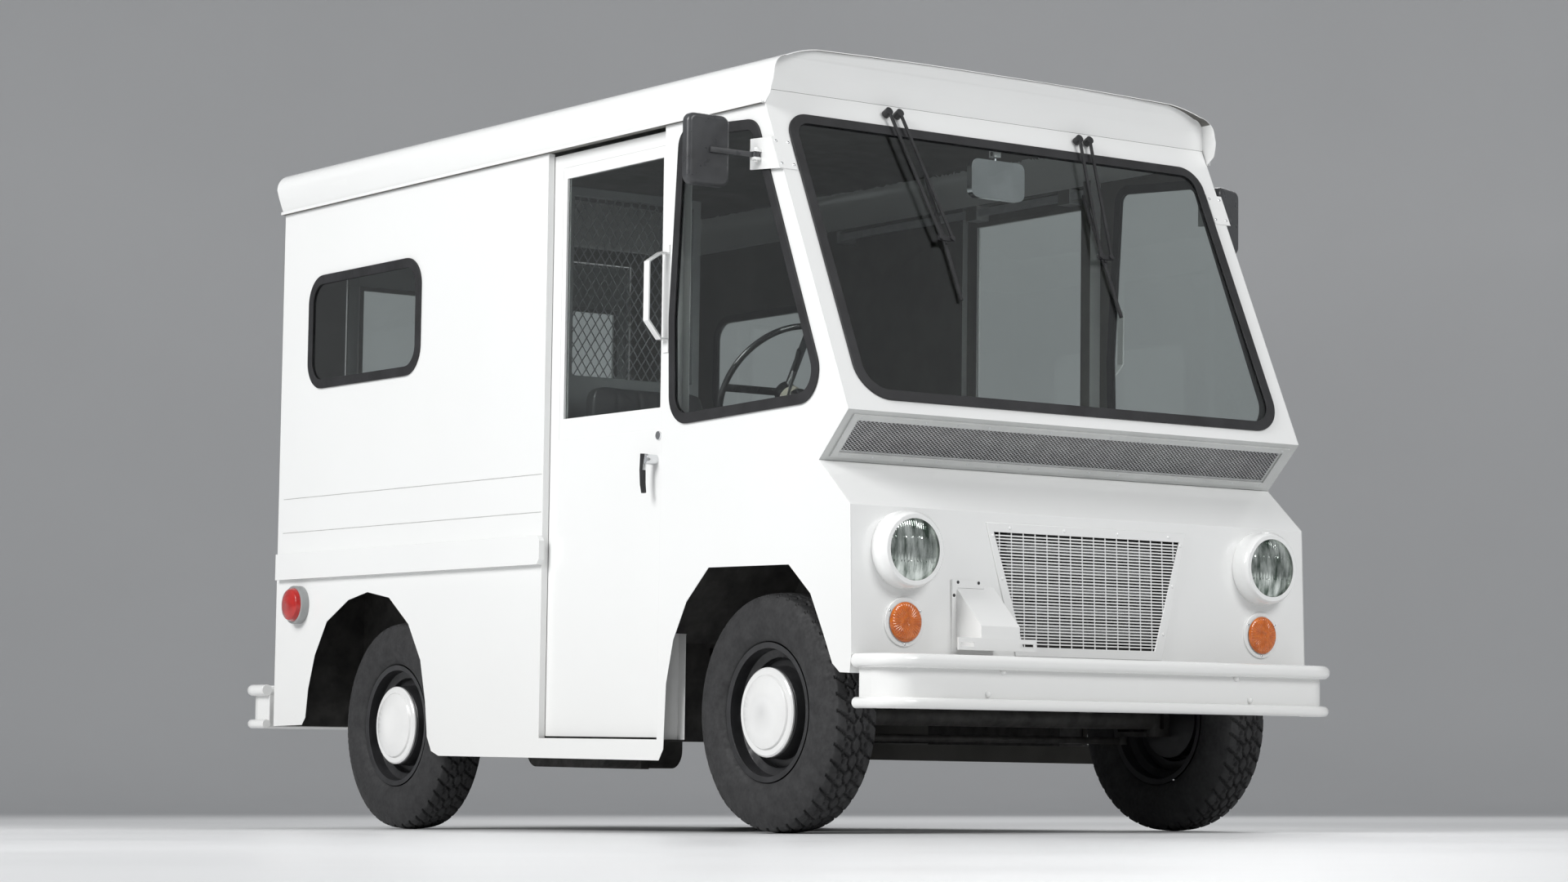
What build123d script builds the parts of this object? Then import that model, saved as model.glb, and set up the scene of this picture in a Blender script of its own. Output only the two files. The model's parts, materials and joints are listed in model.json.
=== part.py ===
"""Right-hand-drive mail delivery van, built as separate pieces in one frame.

Everything is drawn level, with y = 0 at the front axle, +y rearward, z = 0 on the ground
under the front tyres, and the driver's side at -x.  The van stands slightly nose-down, so
the finished pieces are turned by RAKE about the front axle and moved so that the origin
lies at the bottom centre of the whole vehicle.
"""
from build123d import *
import math
import os

# ---------------------------------------------------------------- driving dimensions (mm)
WHEELBASE = 2159.0
TYRE_R = 350.7            # rolling radius of the tyre
TYRE_W = 180.0            # section width of the tyre
TRACK_HALF = 757.0        # centre of each tyre from the middle of the van
RAKE = 1.225              # degrees, nose-down
SHEET = 2.0               # body sheet metal
BODY_HALF = 877.4         # outer face of the body sides
BODY_REAR = 2948.0
SILL_Z = 205.0            # lower edge of the body side
SILL_TOP = 268.0          # bottom of the door opening
BELT_REAR_Z = 298.0       # lower edge behind the rear wheel
EAVES_Z = 2137.0          # top of the body sides, under the drip rail
ROOF_Z = 2322.0           # crown of the roof
ROOF_HALF = 911.0         # widest point of the roof
ROOF_WIDE_Z = 2225.0
ROOF_BASE = 880.0         # half width of the roof at the eaves
ROOF_FRONT_IN = 36.0      # how much narrower the roof is at its front end
FLOOR_Z = 560.0           # underside of the cargo floor
DECK_Z = 800.0            # underside of the deck over the front wheels

OVERHANG = (-441.0, 1205.4)    # (y, z) lower edge of the windshield panel
EAVES_FRONT = (-18.6, 2137.0)  # where that panel meets the eaves
VALLEY = (-303.6, 1068.4)      # inner edge of the air intake
NOSE_TOP = (-454.8, 935.6)
NOSE_LOW = (-467.0, 517.0)
NOSE_FOOT = (-460.0, 461.0)
CREASE_Z = 2185.0              # where the forehead turns into the visor

DOOR_FRONT = 502.0
DOOR_REAR = 1170.0
DOOR_OUT = 852.0               # outer face of the sliding door
DOOR_T = 25.0
DOOR_TRAVEL = 540.0
DOOR_TOP = 2128.0
DOOR_LAP = 6.0                 # how far the door reaches behind the cargo side
DOOR_HANDLE = (567.0, 1118.0)  # (y, z) of the handle's spindle
DOOR_SPINDLE_R = 9.0
GLASS_T = 5.0
SEAL_W = 32.0                  # visible width of the window rubber
RUN = 0.3                      # running clearance of sliding and turning parts
FIT = 0.05                     # radial clearance of a pin in its bore

RAIL_IN, RAIL_OUT = 330.0, 390.0       # chassis rails
RAIL_Z0, RAIL_Z1 = 450.0, 560.0
RAIL_FRONT, RAIL_REAR = -452.0, 2930.0
BUMPER_FRONT, BUMPER_REAR = -645.0, 3240.0
BUMPER_HALF = 880.0
BUMPER_BEND = 120.0                    # plan radius of the bumper's corners
FRONT_ARM_Z, REAR_ARM_Z = (396.0, 457.0), (398.0, 462.0)
ROLL_TOP_R, ROLL_LOW_R = 20.0, 16.0
KINGPIN_X = 672.0
KINGPIN_R = 12.0
SPINDLE_R = 18.0
TIE_Y, TIE_Z = 150.0, 296.0
STEER_HUB = (-560.0, 285.0, 1318.0)    # centre of the steering wheel's hub
STEER_R = 225.0
STEER_TILT = 57.0                      # degrees between the wheel's plane and the horizontal
BULKHEAD_Y = 1195.0
DASH_Y = -248.0                        # cab side of the dash

# ---------------------------------------------------------------- derived places
REAR_AXLE = (WHEELBASE * math.cos(math.radians(RAKE)),
             TYRE_R - WHEELBASE * math.sin(math.radians(RAKE)))
SLOPE = math.hypot(EAVES_FRONT[0] - OVERHANG[0], EAVES_FRONT[1] - OVERHANG[1])
UP_Y = (EAVES_FRONT[0] - OVERHANG[0]) / SLOPE      # unit vector up the windshield
UP_Z = (EAVES_FRONT[1] - OVERHANG[1]) / SLOPE
INNER = BODY_HALF - SHEET                          # inner face of the body sides
WINDSHIELD = Plane(origin=(0, OVERHANG[0], OVERHANG[1]), x_dir=(1, 0, 0), z_dir=(0, -UP_Z, UP_Y))


def up_slope(z):
    """Distance up the windshield panel of the height z."""
    return (z - OVERHANG[1]) / UP_Z


def slope_y(z):
    """y of the windshield panel's outer face at the height z."""
    return OVERHANG[0] + (z - OVERHANG[1]) * UP_Y / UP_Z


WIPER_TOP, WIPER_LOW = up_slope(2150.0), up_slope(1755.0)   # spindles and lower pivots
ARM_GAP = 42.0                                              # from an arm to its link
ARM_SHIFT = 64.0                                            # how far the arms lean inwards
WIPERS = {"right": (-431.0, ARM_SHIFT), "left": (323.0, -ARM_SHIFT)}   # spindle and lean
WIPER_PIN_R = 6.0


# ---------------------------------------------------------------- small drawing helpers
def block(x0, x1, y0, y1, z0, z1):
    return Pos((x0 + x1) / 2, (y0 + y1) / 2, (z0 + z1) / 2) * Box(x1 - x0, y1 - y0, z1 - z0)


def side_plate(points, x0, x1):
    """A flat piece drawn in (y, z) and standing between x0 and x1."""
    face = Face(Wire.make_polygon([Vector(x0, y, z) for y, z in points], close=True))
    return Solid.extrude(face, Vector(x1 - x0, 0, 0))


def front_plate(points, y0, y1):
    face = Face(Wire.make_polygon([Vector(x, y0, z) for x, z in points], close=True))
    return Solid.extrude(face, Vector(0, y1 - y0, 0))


def flat_plate(points, z0, z1):
    face = Face(Wire.make_polygon([Vector(x, y, z0) for x, y in points], close=True))
    return Solid.extrude(face, Vector(0, 0, z1 - z0))


def rod(a, b, radius):
    a, b = Vector(*a), Vector(*b)
    return Solid.make_cylinder(radius, (b - a).length, Plane(origin=a, z_dir=b - a))


def tube(a, b, outer, inner):
    return rod(a, b, outer) - rod(a, b, inner)


def ring_of(points, centre):
    """Revolve an (axial, radial) outline about an axle along x, axial = outwards (+x)."""
    cx, cy, cz = centre
    face = Face(Wire.make_polygon([Vector(cx + a, cy, cz + r) for a, r in points], close=True))
    return Solid.revolve(face, 360, Axis((cx, cy, cz), (1, 0, 0)))


def left(shape):
    return mirror(shape, about=Plane.YZ)


def both(shape):
    return [shape, left(shape)]


def solids(*shapes):
    """Gather shapes and lists of shapes into one compound of separate solids."""
    found = []
    for shape in shapes:
        for item in shape if isinstance(shape, list) else [shape]:
            found.extend(item.solids())
    return Compound(found)


def rounded(points, radii):
    """A 2-D polygon whose corners have the given radii."""
    outline = make_face(Polyline(*points, close=True))
    for point, radius in zip(points, radii):
        near = min(outline.vertices(), key=lambda v: math.hypot(v.X - point[0], v.Y - point[1]))
        outline = fillet(near, radius)
    return outline


def slab(outline, inset, z0, z1):
    """The outline moved inwards by inset and raised from z0 to z1."""
    face = offset(outline, amount=-inset) if inset else outline
    return Pos(0, 0, z0) * extrude(face, z1 - z0)


def window(outline):
    """Opening cutter, glass and rubber seal for a window in a sheet lying at z = -SHEET..0."""
    cutter = slab(outline, SEAL_W / 2, -20, 20)
    glass = slab(outline, SEAL_W / 2 + 6, -3.5, GLASS_T - 3.5)
    seal = slab(outline, 0, 0, 7) + slab(outline, 3, -9, -SHEET) + slab(outline, SEAL_W / 2, -SHEET, 0)
    seal = seal - slab(outline, SEAL_W, -20, 20) - glass
    return cutter, glass, seal


# ---------------------------------------------------------------- windows of the body
def windshield_window():
    top, low, half = up_slope(2113.0), up_slope(1240.0), 820.0
    outline = rounded([(-half, low), (half, low), (half, top), (-half, top)], [110, 110, 80, 80])
    return [WINDSHIELD * part for part in window(outline)]


def on_right_side(part):
    """Stand a piece drawn in (y, z) on the outer face of the right body side."""
    place = Plane(origin=(-BODY_HALF, 0, 0), x_dir=(0, -1, 0), z_dir=(-1, 0, 0))
    return place * (mirror(part, about=Plane.YZ))


def quarter_window():
    outline = rounded([(-349, 1237), (452, 1212), (462, 1540), (420, 2121), (18, 2095)],
                      [95, 90, 300, 60, 70])
    return [on_right_side(part) for part in window(outline)]


def rear_side_window():
    outline = rounded([(1961, 1487), (2746, 1487), (2746, 1890), (1961, 1890)], [100] * 4)
    return [on_right_side(part) for part in window(outline)]


def all_windows():
    windows = [windshield_window(), quarter_window(), rear_side_window()]
    glass = [windows[0][1]] + both(windows[1][1]) + both(windows[2][1])
    seals = [windows[0][2]] + both(windows[1][2]) + both(windows[2][2])
    return windows, glass, seals


# ---------------------------------------------------------------- body shell
FRONT_ARCH = [(466, 239), (456, 435), (421, 566), (354, 679), (240, 778), (-163, 774),
              (-270, 688), (-335, 571), (-378, 488), (-413, 463)]
REAR_ARCH = [(2739, 303), (2714, 329), (2698, 430), (2655, 547), (2574, 663), (2423, 735),
             (2290, 759), (2140, 736), (2006, 644), (1921, 522), (1884, 386), (1867, 267),
             (1838, 220), (1790, SILL_Z)]


def body_side(windows):
    """Right-hand side: one sheet with the door opening, wheel arches and two windows."""
    outline = [NOSE_FOOT, NOSE_LOW, NOSE_TOP, VALLEY, OVERHANG, EAVES_FRONT,
               (BODY_REAR, EAVES_Z), (BODY_REAR, BELT_REAR_Z)] + REAR_ARCH
    outline += [(DOOR_FRONT - 12, SILL_Z)] + FRONT_ARCH
    sheet = side_plate(outline, -BODY_HALF, -INNER)
    sheet -= block(-900, -800, DOOR_FRONT, DOOR_REAR, SILL_TOP, EAVES_Z + 10)
    sheet -= windows[1][0]
    sheet -= windows[2][0]
    rear_return = block(-INNER, -DOOR_OUT - 2, DOOR_REAR, DOOR_REAR + SHEET, SILL_TOP, EAVES_Z)
    front_post = block(-INNER, -800, 464, DOOR_FRONT, SILL_TOP, EAVES_Z)
    front_post -= block(-INNER, -802, 464, DOOR_FRONT - SHEET, SILL_TOP, EAVES_Z)
    return sheet + rear_return + front_post


def rub_rail():
    y0, y1, z0, z1 = 1156.0, 2925.0, 817.0, 909.0
    rail = block(-BODY_HALF - 20, -BODY_HALF, DOOR_REAR, y1, z0, z1)
    rail -= block(-BODY_HALF - 18, -BODY_HALF, DOOR_REAR + 60, y1 - SHEET, z0 + 2, z1 - 2)
    nose = side_plate([(DOOR_REAR, z0), (DOOR_REAR, z1), (y0, z1 - 16), (y0, z0 + 16)],
                      -BODY_HALF - 20, -BODY_HALF)
    return rail + nose


def windshield_surround(windows):
    """The tilted front panel, from the air intake up to the crease under the visor."""
    top = up_slope(CREASE_Z - 1)
    sheet = WINDSHIELD * (Pos(0, top / 2, -SHEET / 2) * Box(2 * INNER, top, SHEET))
    for spindle, _ in WIPERS.values():
        for x in (spindle, spindle + ARM_GAP):
            sheet -= WINDSHIELD * (Pos(x, WIPER_TOP, 0) * Cylinder(WIPER_PIN_R + FIT, 40))
    header = side_plate([(slope_y(2122) + 2.4, 2122), (slope_y(2122) + 60, 2122),
                         (slope_y(2126) + 60, 2126), (slope_y(2126) + 2.4, 2126)], -700, 700)
    return [sheet - windows[0][0], header]


def nose_section(inset):
    """Outline of the nose in (y, z), moved inwards by inset."""
    return [(VALLEY[0] + inset * 0.5, VALLEY[1] - inset * 0.9),
            (NOSE_TOP[0] + inset, NOSE_TOP[1] - inset * 0.5),
            (NOSE_LOW[0] + inset, NOSE_LOW[1]), (NOSE_FOOT[0] + inset, NOSE_FOOT[1])]


LAMP_X, LAMP_Z, BEZEL_R = 692.0, 812.5, 110.0
SIGNAL_X, SIGNAL_Z, SIGNAL_R = 691.0, 608.0, 70.0
GRILLE = [(-388, 906), (388, 906), (283, 522), (-283, 522)]
GRILLE_EDGE = 27.0


def grille_outline(inset):
    side = inset * 1.04
    return [(GRILLE[0][0] + side, 906 - inset), (GRILLE[1][0] - side, 906 - inset),
            (GRILLE[2][0] - side, 522 + inset), (GRILLE[3][0] + side, 522 + inset)]


def nose_panel():
    sheet = side_plate(nose_section(0) + nose_section(SHEET)[::-1], -INNER, INNER)
    sheet -= front_plate(grille_outline(12), -500, -420)
    for sign in (-1, 1):
        sheet -= rod((sign * LAMP_X, -500, LAMP_Z), (sign * LAMP_X, -420, LAMP_Z), 94)
        sheet -= rod((sign * SIGNAL_X, -500, SIGNAL_Z), (sign * SIGNAL_X, -420, SIGNAL_Z), 50)
    return sheet


def ahead_of_nose():
    """Everything in front of the nose panel's outer face."""
    return side_plate([(-800, 300), (NOSE_FOOT[0], 300), NOSE_FOOT, NOSE_LOW, NOSE_TOP, VALLEY,
                       (VALLEY[0], 1300), (-800, 1300)], -1000, 1000)


def roof_profile(y, inset, half):
    """Closed cross-section of the roof cap at y, in the x-z plane."""
    w, e, base = half - inset, EAVES_Z, ROOF_BASE - inset
    side = [(base, e), ((base + w) / 2 + 4, e + 51), (w, ROOF_WIDE_Z)]
    edge = [(w, ROOF_WIDE_Z), (w - 14, ROOF_WIDE_Z + 38), (w - 51, ROOF_WIDE_Z + 58 - inset * 0.7)]
    brow = [edge[2], (w - 111, ROOF_Z - 19 - inset), (w - 171, ROOF_Z - 8 - inset)]
    crown = [brow[2], (w * 0.5, ROOF_Z - 2 - inset), (0, ROOF_Z - inset)]
    right = [ThreePointArc(*[(x, y, z) for x, z in arc]) for arc in (side, edge, brow, crown)]
    mirrored = [ThreePointArc(*[(-x, y, z) for x, z in arc]) for arc in (side, edge, brow, crown)]
    return Face(Wire(right + mirrored + [Line((-base, y, e), (base, y, e))]))


def roof_block(inset, y0, y1):
    return Solid.make_loft([roof_profile(y0, inset, ROOF_HALF - ROOF_FRONT_IN).outer_wire(),
                            roof_profile(y1, inset, ROOF_HALF).outer_wire()])


VISOR_EDGE = [(-20, EAVES_Z), (-48, 2160), (-60, 2203), (-57, 2251), (-45, 2290), (-30, 2330)]


def roof_cap():
    """Roof shell with its forward visor, rear wall and the drip rails."""
    y1 = 2955.0
    full = roof_block(0, -70, y1)
    shell = full - roof_block(SHEET + 0.5, -75, y1 - SHEET)
    shell -= side_plate([(-100, EAVES_Z - 20), (-20, EAVES_Z - 20)] + VISOR_EDGE + [(-100, 2330)],
                        -1000, 1000)
    crease = slope_y(CREASE_Z)
    cove = [(crease, CREASE_Z), (crease - 8, 2240), (crease - 21, 2285), (-33, 2330),
            (-29, 2330), (crease - 16, 2285), (crease - 4, 2240), (crease + 4, CREASE_Z)]
    cove = side_plate(cove, -920, 920) & full
    rails = []
    for sign in (-1, 1):
        x = sorted((sign * 866, sign * 892))
        rail = block(x[0], x[1], -12, 2956, EAVES_Z, EAVES_Z + 3)
        lip = sorted((sign * 890, sign * 892))
        rails.append(rail + block(lip[0], lip[1], -18.6, 2956, EAVES_Z, EAVES_Z + 10))
    cap = shell + cove
    for rail in rails:
        cap += rail
    return cap


REAR_DOOR_HALF, REAR_DOOR_LOW, REAR_DOOR_TOP = 620.0, 566.0, 2080.0


def rear_end_panel():
    sheet = block(-INNER, INNER, BODY_REAR - SHEET, BODY_REAR, BELT_REAR_Z, EAVES_Z)
    sheet -= block(-REAR_DOOR_HALF, REAR_DOOR_HALF, BODY_REAR - 9, BODY_REAR + 9,
                   REAR_DOOR_LOW, REAR_DOOR_TOP)
    for x0, x1 in ((-RAIL_OUT - 4, -RAIL_IN + 4), (RAIL_IN - 4, RAIL_OUT + 4)):
        sheet -= block(x0, x1, BODY_REAR - 9, BODY_REAR + 9, REAR_ARM_Z[0] - 4, REAR_ARM_Z[1] + 4)
    return sheet


WHEELHOUSE_X, WHEELHOUSE_Y0, WHEELHOUSE_Y1, WHEELHOUSE_Z = 630.0, 1775.0, 2745.0, 775.0
POCKET_X = 790.0                # inner limit of the space that the sliding door needs
STEP_X = 700.0
TOE_TOP, TOE_FOOT = 300.0, 480.0
DECK_FRONT = -372.0             # front edge of the deck, behind the radiator and the lamps


def floor_pan():
    """Deck, toe board, cab floor with its two step wells, cargo floor and wheelhouses."""
    deck = side_plate([(DECK_FRONT, DECK_Z), (TOE_TOP, DECK_Z), (TOE_FOOT, FLOOR_Z), (TOE_FOOT, FLOOR_Z + 4),
                       (TOE_TOP + 3, DECK_Z + 4), (DECK_FRONT, DECK_Z + 4)], -INNER, INNER)
    deck -= block(-INNER, -798, 460, 490, 200, 900)
    deck -= block(798, INNER, 460, 490, 200, 900)
    pan = deck + block(-STEP_X, STEP_X, TOE_FOOT, BODY_REAR - SHEET, FLOOR_Z, FLOOR_Z + 4)
    for sign in (-1, 1):
        def span(a, b, *rest):
            x0, x1 = sorted((sign * a, sign * b))
            return block(x0, x1, *rest)
        pan += span(STEP_X - 5, POCKET_X, DOOR_REAR + 5, WHEELHOUSE_Y0, FLOOR_Z, FLOOR_Z + 4)
        pan += span(STEP_X - 5, INNER, WHEELHOUSE_Y1 - 5, BODY_REAR - SHEET, FLOOR_Z, FLOOR_Z + 4)
        pan -= span(WHEELHOUSE_X + 2, INNER, WHEELHOUSE_Y0 + 2, WHEELHOUSE_Y1 - 2, FLOOR_Z - 5, 700)
        pan += span(WHEELHOUSE_X, INNER, WHEELHOUSE_Y0, WHEELHOUSE_Y1, WHEELHOUSE_Z, WHEELHOUSE_Z + 2)
        pan += span(WHEELHOUSE_X, WHEELHOUSE_X + 2, WHEELHOUSE_Y0, WHEELHOUSE_Y1, 460, WHEELHOUSE_Z + 1)
        for y in (WHEELHOUSE_Y0, WHEELHOUSE_Y1 - 2):
            pan += span(WHEELHOUSE_X, INNER, y, y + 2, 300, WHEELHOUSE_Z + 1)
        pan += span(STEP_X - 2, STEP_X, TOE_FOOT + 4, DOOR_REAR + 5, 262, FLOOR_Z + 4)
        pan += span(STEP_X - 2, INNER, TOE_FOOT + 4, DOOR_REAR + 5, 262, 266)
        pan += span(STEP_X - 2, 798, TOE_FOOT + 4, TOE_FOOT + 6, 262, FLOOR_Z + 2)
        pan += span(STEP_X - 2, POCKET_X, DOOR_REAR + 5, DOOR_REAR + 7, 262, FLOOR_Z + 2)
        pan += span(820, INNER, DOOR_REAR, WHEELHOUSE_Y0 - 5, 262, 266)
        pan += span(836, 840, 506, WHEELHOUSE_Y0 - 5, 265, 284)
        well = [(DECK_FRONT, 392), (TOE_FOOT + 4, 392), (TOE_FOOT + 4, FLOOR_Z + 2), (TOE_TOP + 1, DECK_Z + 2),
                (DECK_FRONT, DECK_Z + 2)]
        pan += side_plate(well, sign * 470 - 1, sign * 470 + 1)
    return pan


def dash_panel():
    """Painted sheet that closes the cab above the deck, behind the air intake."""
    front = DASH_Y - SHEET
    lower = side_plate([(front, DECK_Z + 4), (front, 1090), (-330, 1225), (-328.3, 1226),
                        (DASH_Y, 1090.6), (DASH_Y, DECK_Z + 4)], -860, 860)
    return lower + block(-860, 860, -410, -329, 1225, 1227)


def door_track():
    """Upper rail of the right sliding door with its end brackets."""
    rail = block(-812, -800, DOOR_FRONT, 1850, 2082, 2108)
    foot = block(-INNER, -800, 1850, 1870, 2075, 2115)
    return rail + foot


# ---------------------------------------------------------------- sliding doors
def sliding_door():
    """Right door: pressed skin with a deep frame, window opening, hangers and floor guide."""
    y0, y1, z0, inner = DOOR_FRONT + 3, DOOR_REAR + DOOR_LAP, SILL_TOP + 6, DOOR_OUT - DOOR_T
    door = block(-DOOR_OUT, -inner, y0, y1, z0, DOOR_TOP)
    door -= block(-DOOR_OUT + 3, -inner + 1, y0 + 4, y1 - 4, z0 + 18, DOOR_TOP - 4)
    door += block(-DOOR_OUT, -DOOR_OUT + 20, 535, 1112, 1264, 2063)
    door += block(-DOOR_OUT, -inner, y0 + 4, y1 - 4, 1190, 1200)
    door += block(-DOOR_OUT, -inner, y0 + 30, 600, 1090, 1146)
    door -= block(-DOOR_OUT - 1, -inner + 1, 549, 1098, 1278, 2049)
    door -= block(-842, -834, y0 - 1, y1 + 1, z0 - 1, z0 + 14)
    door -= block(-DOOR_OUT - 1, -DOOR_OUT + 1.5, 520, 1120, 1213, 2085)
    for y in (y0 + 60, y1 - 120):
        hanger = block(-DOOR_OUT + 3, -794, y, y + 60, 2070, 2120)
        hanger -= block(-812 - RUN, -800 + RUN, y - 1, y + 61, 2082 - RUN, 2108 + RUN)
        door += hanger
    door -= rod((-900, *DOOR_HANDLE), (-800, *DOOR_HANDLE), DOOR_SPINDLE_R + FIT)
    lock = rod((-DOOR_OUT - 5, 551, 1192), (-DOOR_OUT + 8, 551, 1192), 13)
    return door - door_glass() + lock


def door_glass():
    return block(-842, -842 + GLASS_T, 543, 1104, 1272, 2055)


def door_handle():
    """Turning handle: spindle, hub and a curved blade hanging down."""
    hub = rod((-DOOR_OUT - RUN, *DOOR_HANDLE), (-DOOR_OUT - 42, *DOOR_HANDLE), 16)
    spindle = rod((-DOOR_OUT - 10, *DOOR_HANDLE), (-DOOR_OUT + 22, *DOOR_HANDLE), DOOR_SPINDLE_R)
    blade = side_plate([(555, 1134), (581, 1136), (584, 1085), (580, 1040), (572, 1014), (562, 1016),
                        (566, 1045), (567, 1085)], -DOOR_OUT - 48, -DOOR_OUT - 36)
    return hub + spindle + blade


# ---------------------------------------------------------------- rear doors
HINGE_X, HINGE_Y = 632.0, 2972.0
HANDLE_X, HANDLE_Z, HANDLE_R = -40.0, 1200.0, 8.0


def rear_door():
    """Right half of the rear doors: a pan with a window, hinged on its outer edge."""
    x0, x1, z0, z1 = -REAR_DOOR_HALF + 4, -2.0, REAR_DOOR_LOW + 4, REAR_DOOR_TOP - 4
    pan = block(x0, x1, BODY_REAR - 4, BODY_REAR + 18, z0, z1)
    pan -= block(x0 + 4, x1 - 4, BODY_REAR - 5, BODY_REAR + 15, z0 + 4, z1 - 4)
    pan += block(x0 + 54, x1 - 44, BODY_REAR, BODY_REAR + 18, 1471, 1906)
    pan -= block(x0 + 70, x1 - 60, BODY_REAR - 5, BODY_REAR + 19, 1487, 1890)
    pan += block(x0, x1, BODY_REAR, BODY_REAR + 16, HANDLE_Z - 25, HANDLE_Z + 25)
    pan -= rear_door_glass()
    for z in (760, 1320, 1900):
        knuckle = rod((-HINGE_X, HINGE_Y, z + RUN), (-HINGE_X, HINGE_Y, z + 60 - RUN), 9)
        strap = block(-HINGE_X, x0 + 60, BODY_REAR + 18, BODY_REAR + 22, z + 5, z + 55)
        knuckle = knuckle + strap - rod((-HINGE_X, HINGE_Y, z - 5), (-HINGE_X, HINGE_Y, z + 65), 5 + FIT)
        pan += knuckle
    return pan


def rear_door_glass():
    x0, x1 = -REAR_DOOR_HALF + 4, -2.0
    return block(x0 + 62, x1 - 52, BODY_REAR + 4, BODY_REAR + 4 + GLASS_T, 1479, 1898)


def rear_hinge():
    """Fixed leaves and pins of the right rear door's three hinges."""
    leaves = []
    for z in (760, 1320, 1900):
        pin = rod((-HINGE_X, HINGE_Y, z - 30), (-HINGE_X, HINGE_Y, z + 90), 5)
        low = rod((-HINGE_X, HINGE_Y, z - 30), (-HINGE_X, HINGE_Y, z), 9)
        high = rod((-HINGE_X, HINGE_Y, z + 60), (-HINGE_X, HINGE_Y, z + 90), 9)
        leaf = block(-HINGE_X - 60, -HINGE_X - 12, BODY_REAR, BODY_REAR + 4, z - 30, z + 90)
        for z0 in (z - 30, z + 60):
            leaf += side_plate([(BODY_REAR + 2, z0), (HINGE_Y + 3, z0), (HINGE_Y + 3, z0 + 30),
                                (BODY_REAR + 2, z0 + 30)], -HINGE_X - 16, -HINGE_X - 7)
        leaves.append(pin + low + high + leaf)
    return leaves


def rear_door_handle():
    """Lever handle of the rear doors, turning about an axis along y."""
    x, z, y = HANDLE_X, HANDLE_Z, BODY_REAR + 18
    grip = block(x - 120, x + 12, y + 26, y + 38, z - 11, z + 11)
    stem = rod((x, y + RUN, z), (x, y + 30, z), 13)
    return stem + grip + rod((x, y - 14, z), (x, y + 5, z), HANDLE_R)


# ---------------------------------------------------------------- front details
def intake_frame():
    """Frame, raised inner rim and screen of the air intake under the windshield."""
    y0, z0, y1, z1 = VALLEY[0], VALLEY[1], OVERHANG[0], OVERHANG[1]
    length = math.hypot(y1 - y0, z1 - z0)
    ny, nz = -(z1 - z0) / length, (y1 - y0) / length
    face = Plane(origin=(0, y0, z0), x_dir=(1, 0, 0), z_dir=(0, ny, nz))
    inner = [(-INNER, 0), (INNER, 0), (INNER, length), (-INNER, length)]
    plate = extrude(make_face(Polyline(*inner, close=True)), -SHEET)
    hole = Pos(0, length / 2, 0) * Box(1640, 112, 20)
    rim = Pos(0, length / 2, 3) * Box(1700, 160, 6) - Pos(0, length / 2, 3) * Box(1656, 124, 8)
    screen = Pos(0, length / 2, 0.75) * Box(1656, 124, 1.5)
    above = WINDSHIELD * (Pos(0, 200, 10) * Box(2000, 440, 20 + 2 * SHEET))
    return face * plate - face * hole - above, face * rim - above, face * screen


def radiator_grille():
    """Trapezoid frame with upright and level bars, standing on the nose panel."""
    lean = Plane(origin=(0, NOSE_LOW[0], NOSE_LOW[1]), x_dir=(1, 0, 0),
                 z_dir=(0, -(NOSE_TOP[1] - NOSE_LOW[1]), NOSE_TOP[0] - NOSE_LOW[0]))
    base = NOSE_LOW[1]

    def flat(points):
        return make_face(Polyline(*[(x, z - base) for x, z in points], close=True))
    frame = extrude(flat(grille_outline(0)), 5) - extrude(flat(grille_outline(GRILLE_EDGE)), 6)
    field = extrude(flat(grille_outline(GRILLE_EDGE - 4)), 3)
    bars = []
    rows, columns = 18, 9
    for i in range(1, rows):
        z = 522 + (906 - 522) * i / rows - base
        bars.append(Pos(0, z, 1.5) * Box(780, 6, 3))
    for i in range(-(columns // 2), columns // 2 + 1):
        bars.append(Pos(i * 82, 190, 1.5) * Box(6, 420, 3))
    grid = bars[0].fuse(*bars[1:]) & field
    return lean * frame.fuse(grid)


def head_lamp_bezel():
    outline = [(-60, 88), (-60, 101), (-52, 108), (-20, 112), (40, 112), (40, 104), (-24, 104), (-52, 92)]
    face = Face(Wire.make_polygon([Vector(-LAMP_X + r, NOSE_TOP[0] - 3 + a, LAMP_Z) for a, r in outline],
                                  close=True))
    cup = Solid.revolve(face, 360, Axis((-LAMP_X, 0, LAMP_Z), (0, 1, 0)))
    return cup & ahead_of_nose()


def lamp_dome(x, z, y_front, bulge, radius, back, depth):
    """Lens with a domed front, seated on a short body that reaches back through the panel."""
    points = [(0, y_front - bulge), (radius * 0.6, y_front - bulge * 0.72), (radius, y_front),
              (radius, y_front + 8), (back, y_front + 10), (back, y_front + depth), (0, y_front + depth)]
    face = Face(Wire.make_polygon([Vector(x + r, y, z) for r, y in points], close=True))
    return Solid.revolve(face, 360, Axis((x, 0, z), (0, 1, 0)))


def head_lamp():
    return lamp_dome(-LAMP_X, LAMP_Z, NOSE_TOP[0] - 3 - 50, 14, 92.5, 60, 80)


def signal_flange():
    plate = rod((-SIGNAL_X, -500, SIGNAL_Z), (-SIGNAL_X, -440, SIGNAL_Z), SIGNAL_R) & ahead_of_nose()
    plate &= block(-900, -500, NOSE_LOW[0] - 4, -400, 400, 900)
    return plate - rod((-SIGNAL_X, -500, SIGNAL_Z), (-SIGNAL_X, -400, SIGNAL_Z), 46)


def signal_lens():
    y = NOSE_LOW[0] - 4
    return lamp_dome(-SIGNAL_X, SIGNAL_Z, y - 8, 26, 57, 45, 46)


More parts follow.
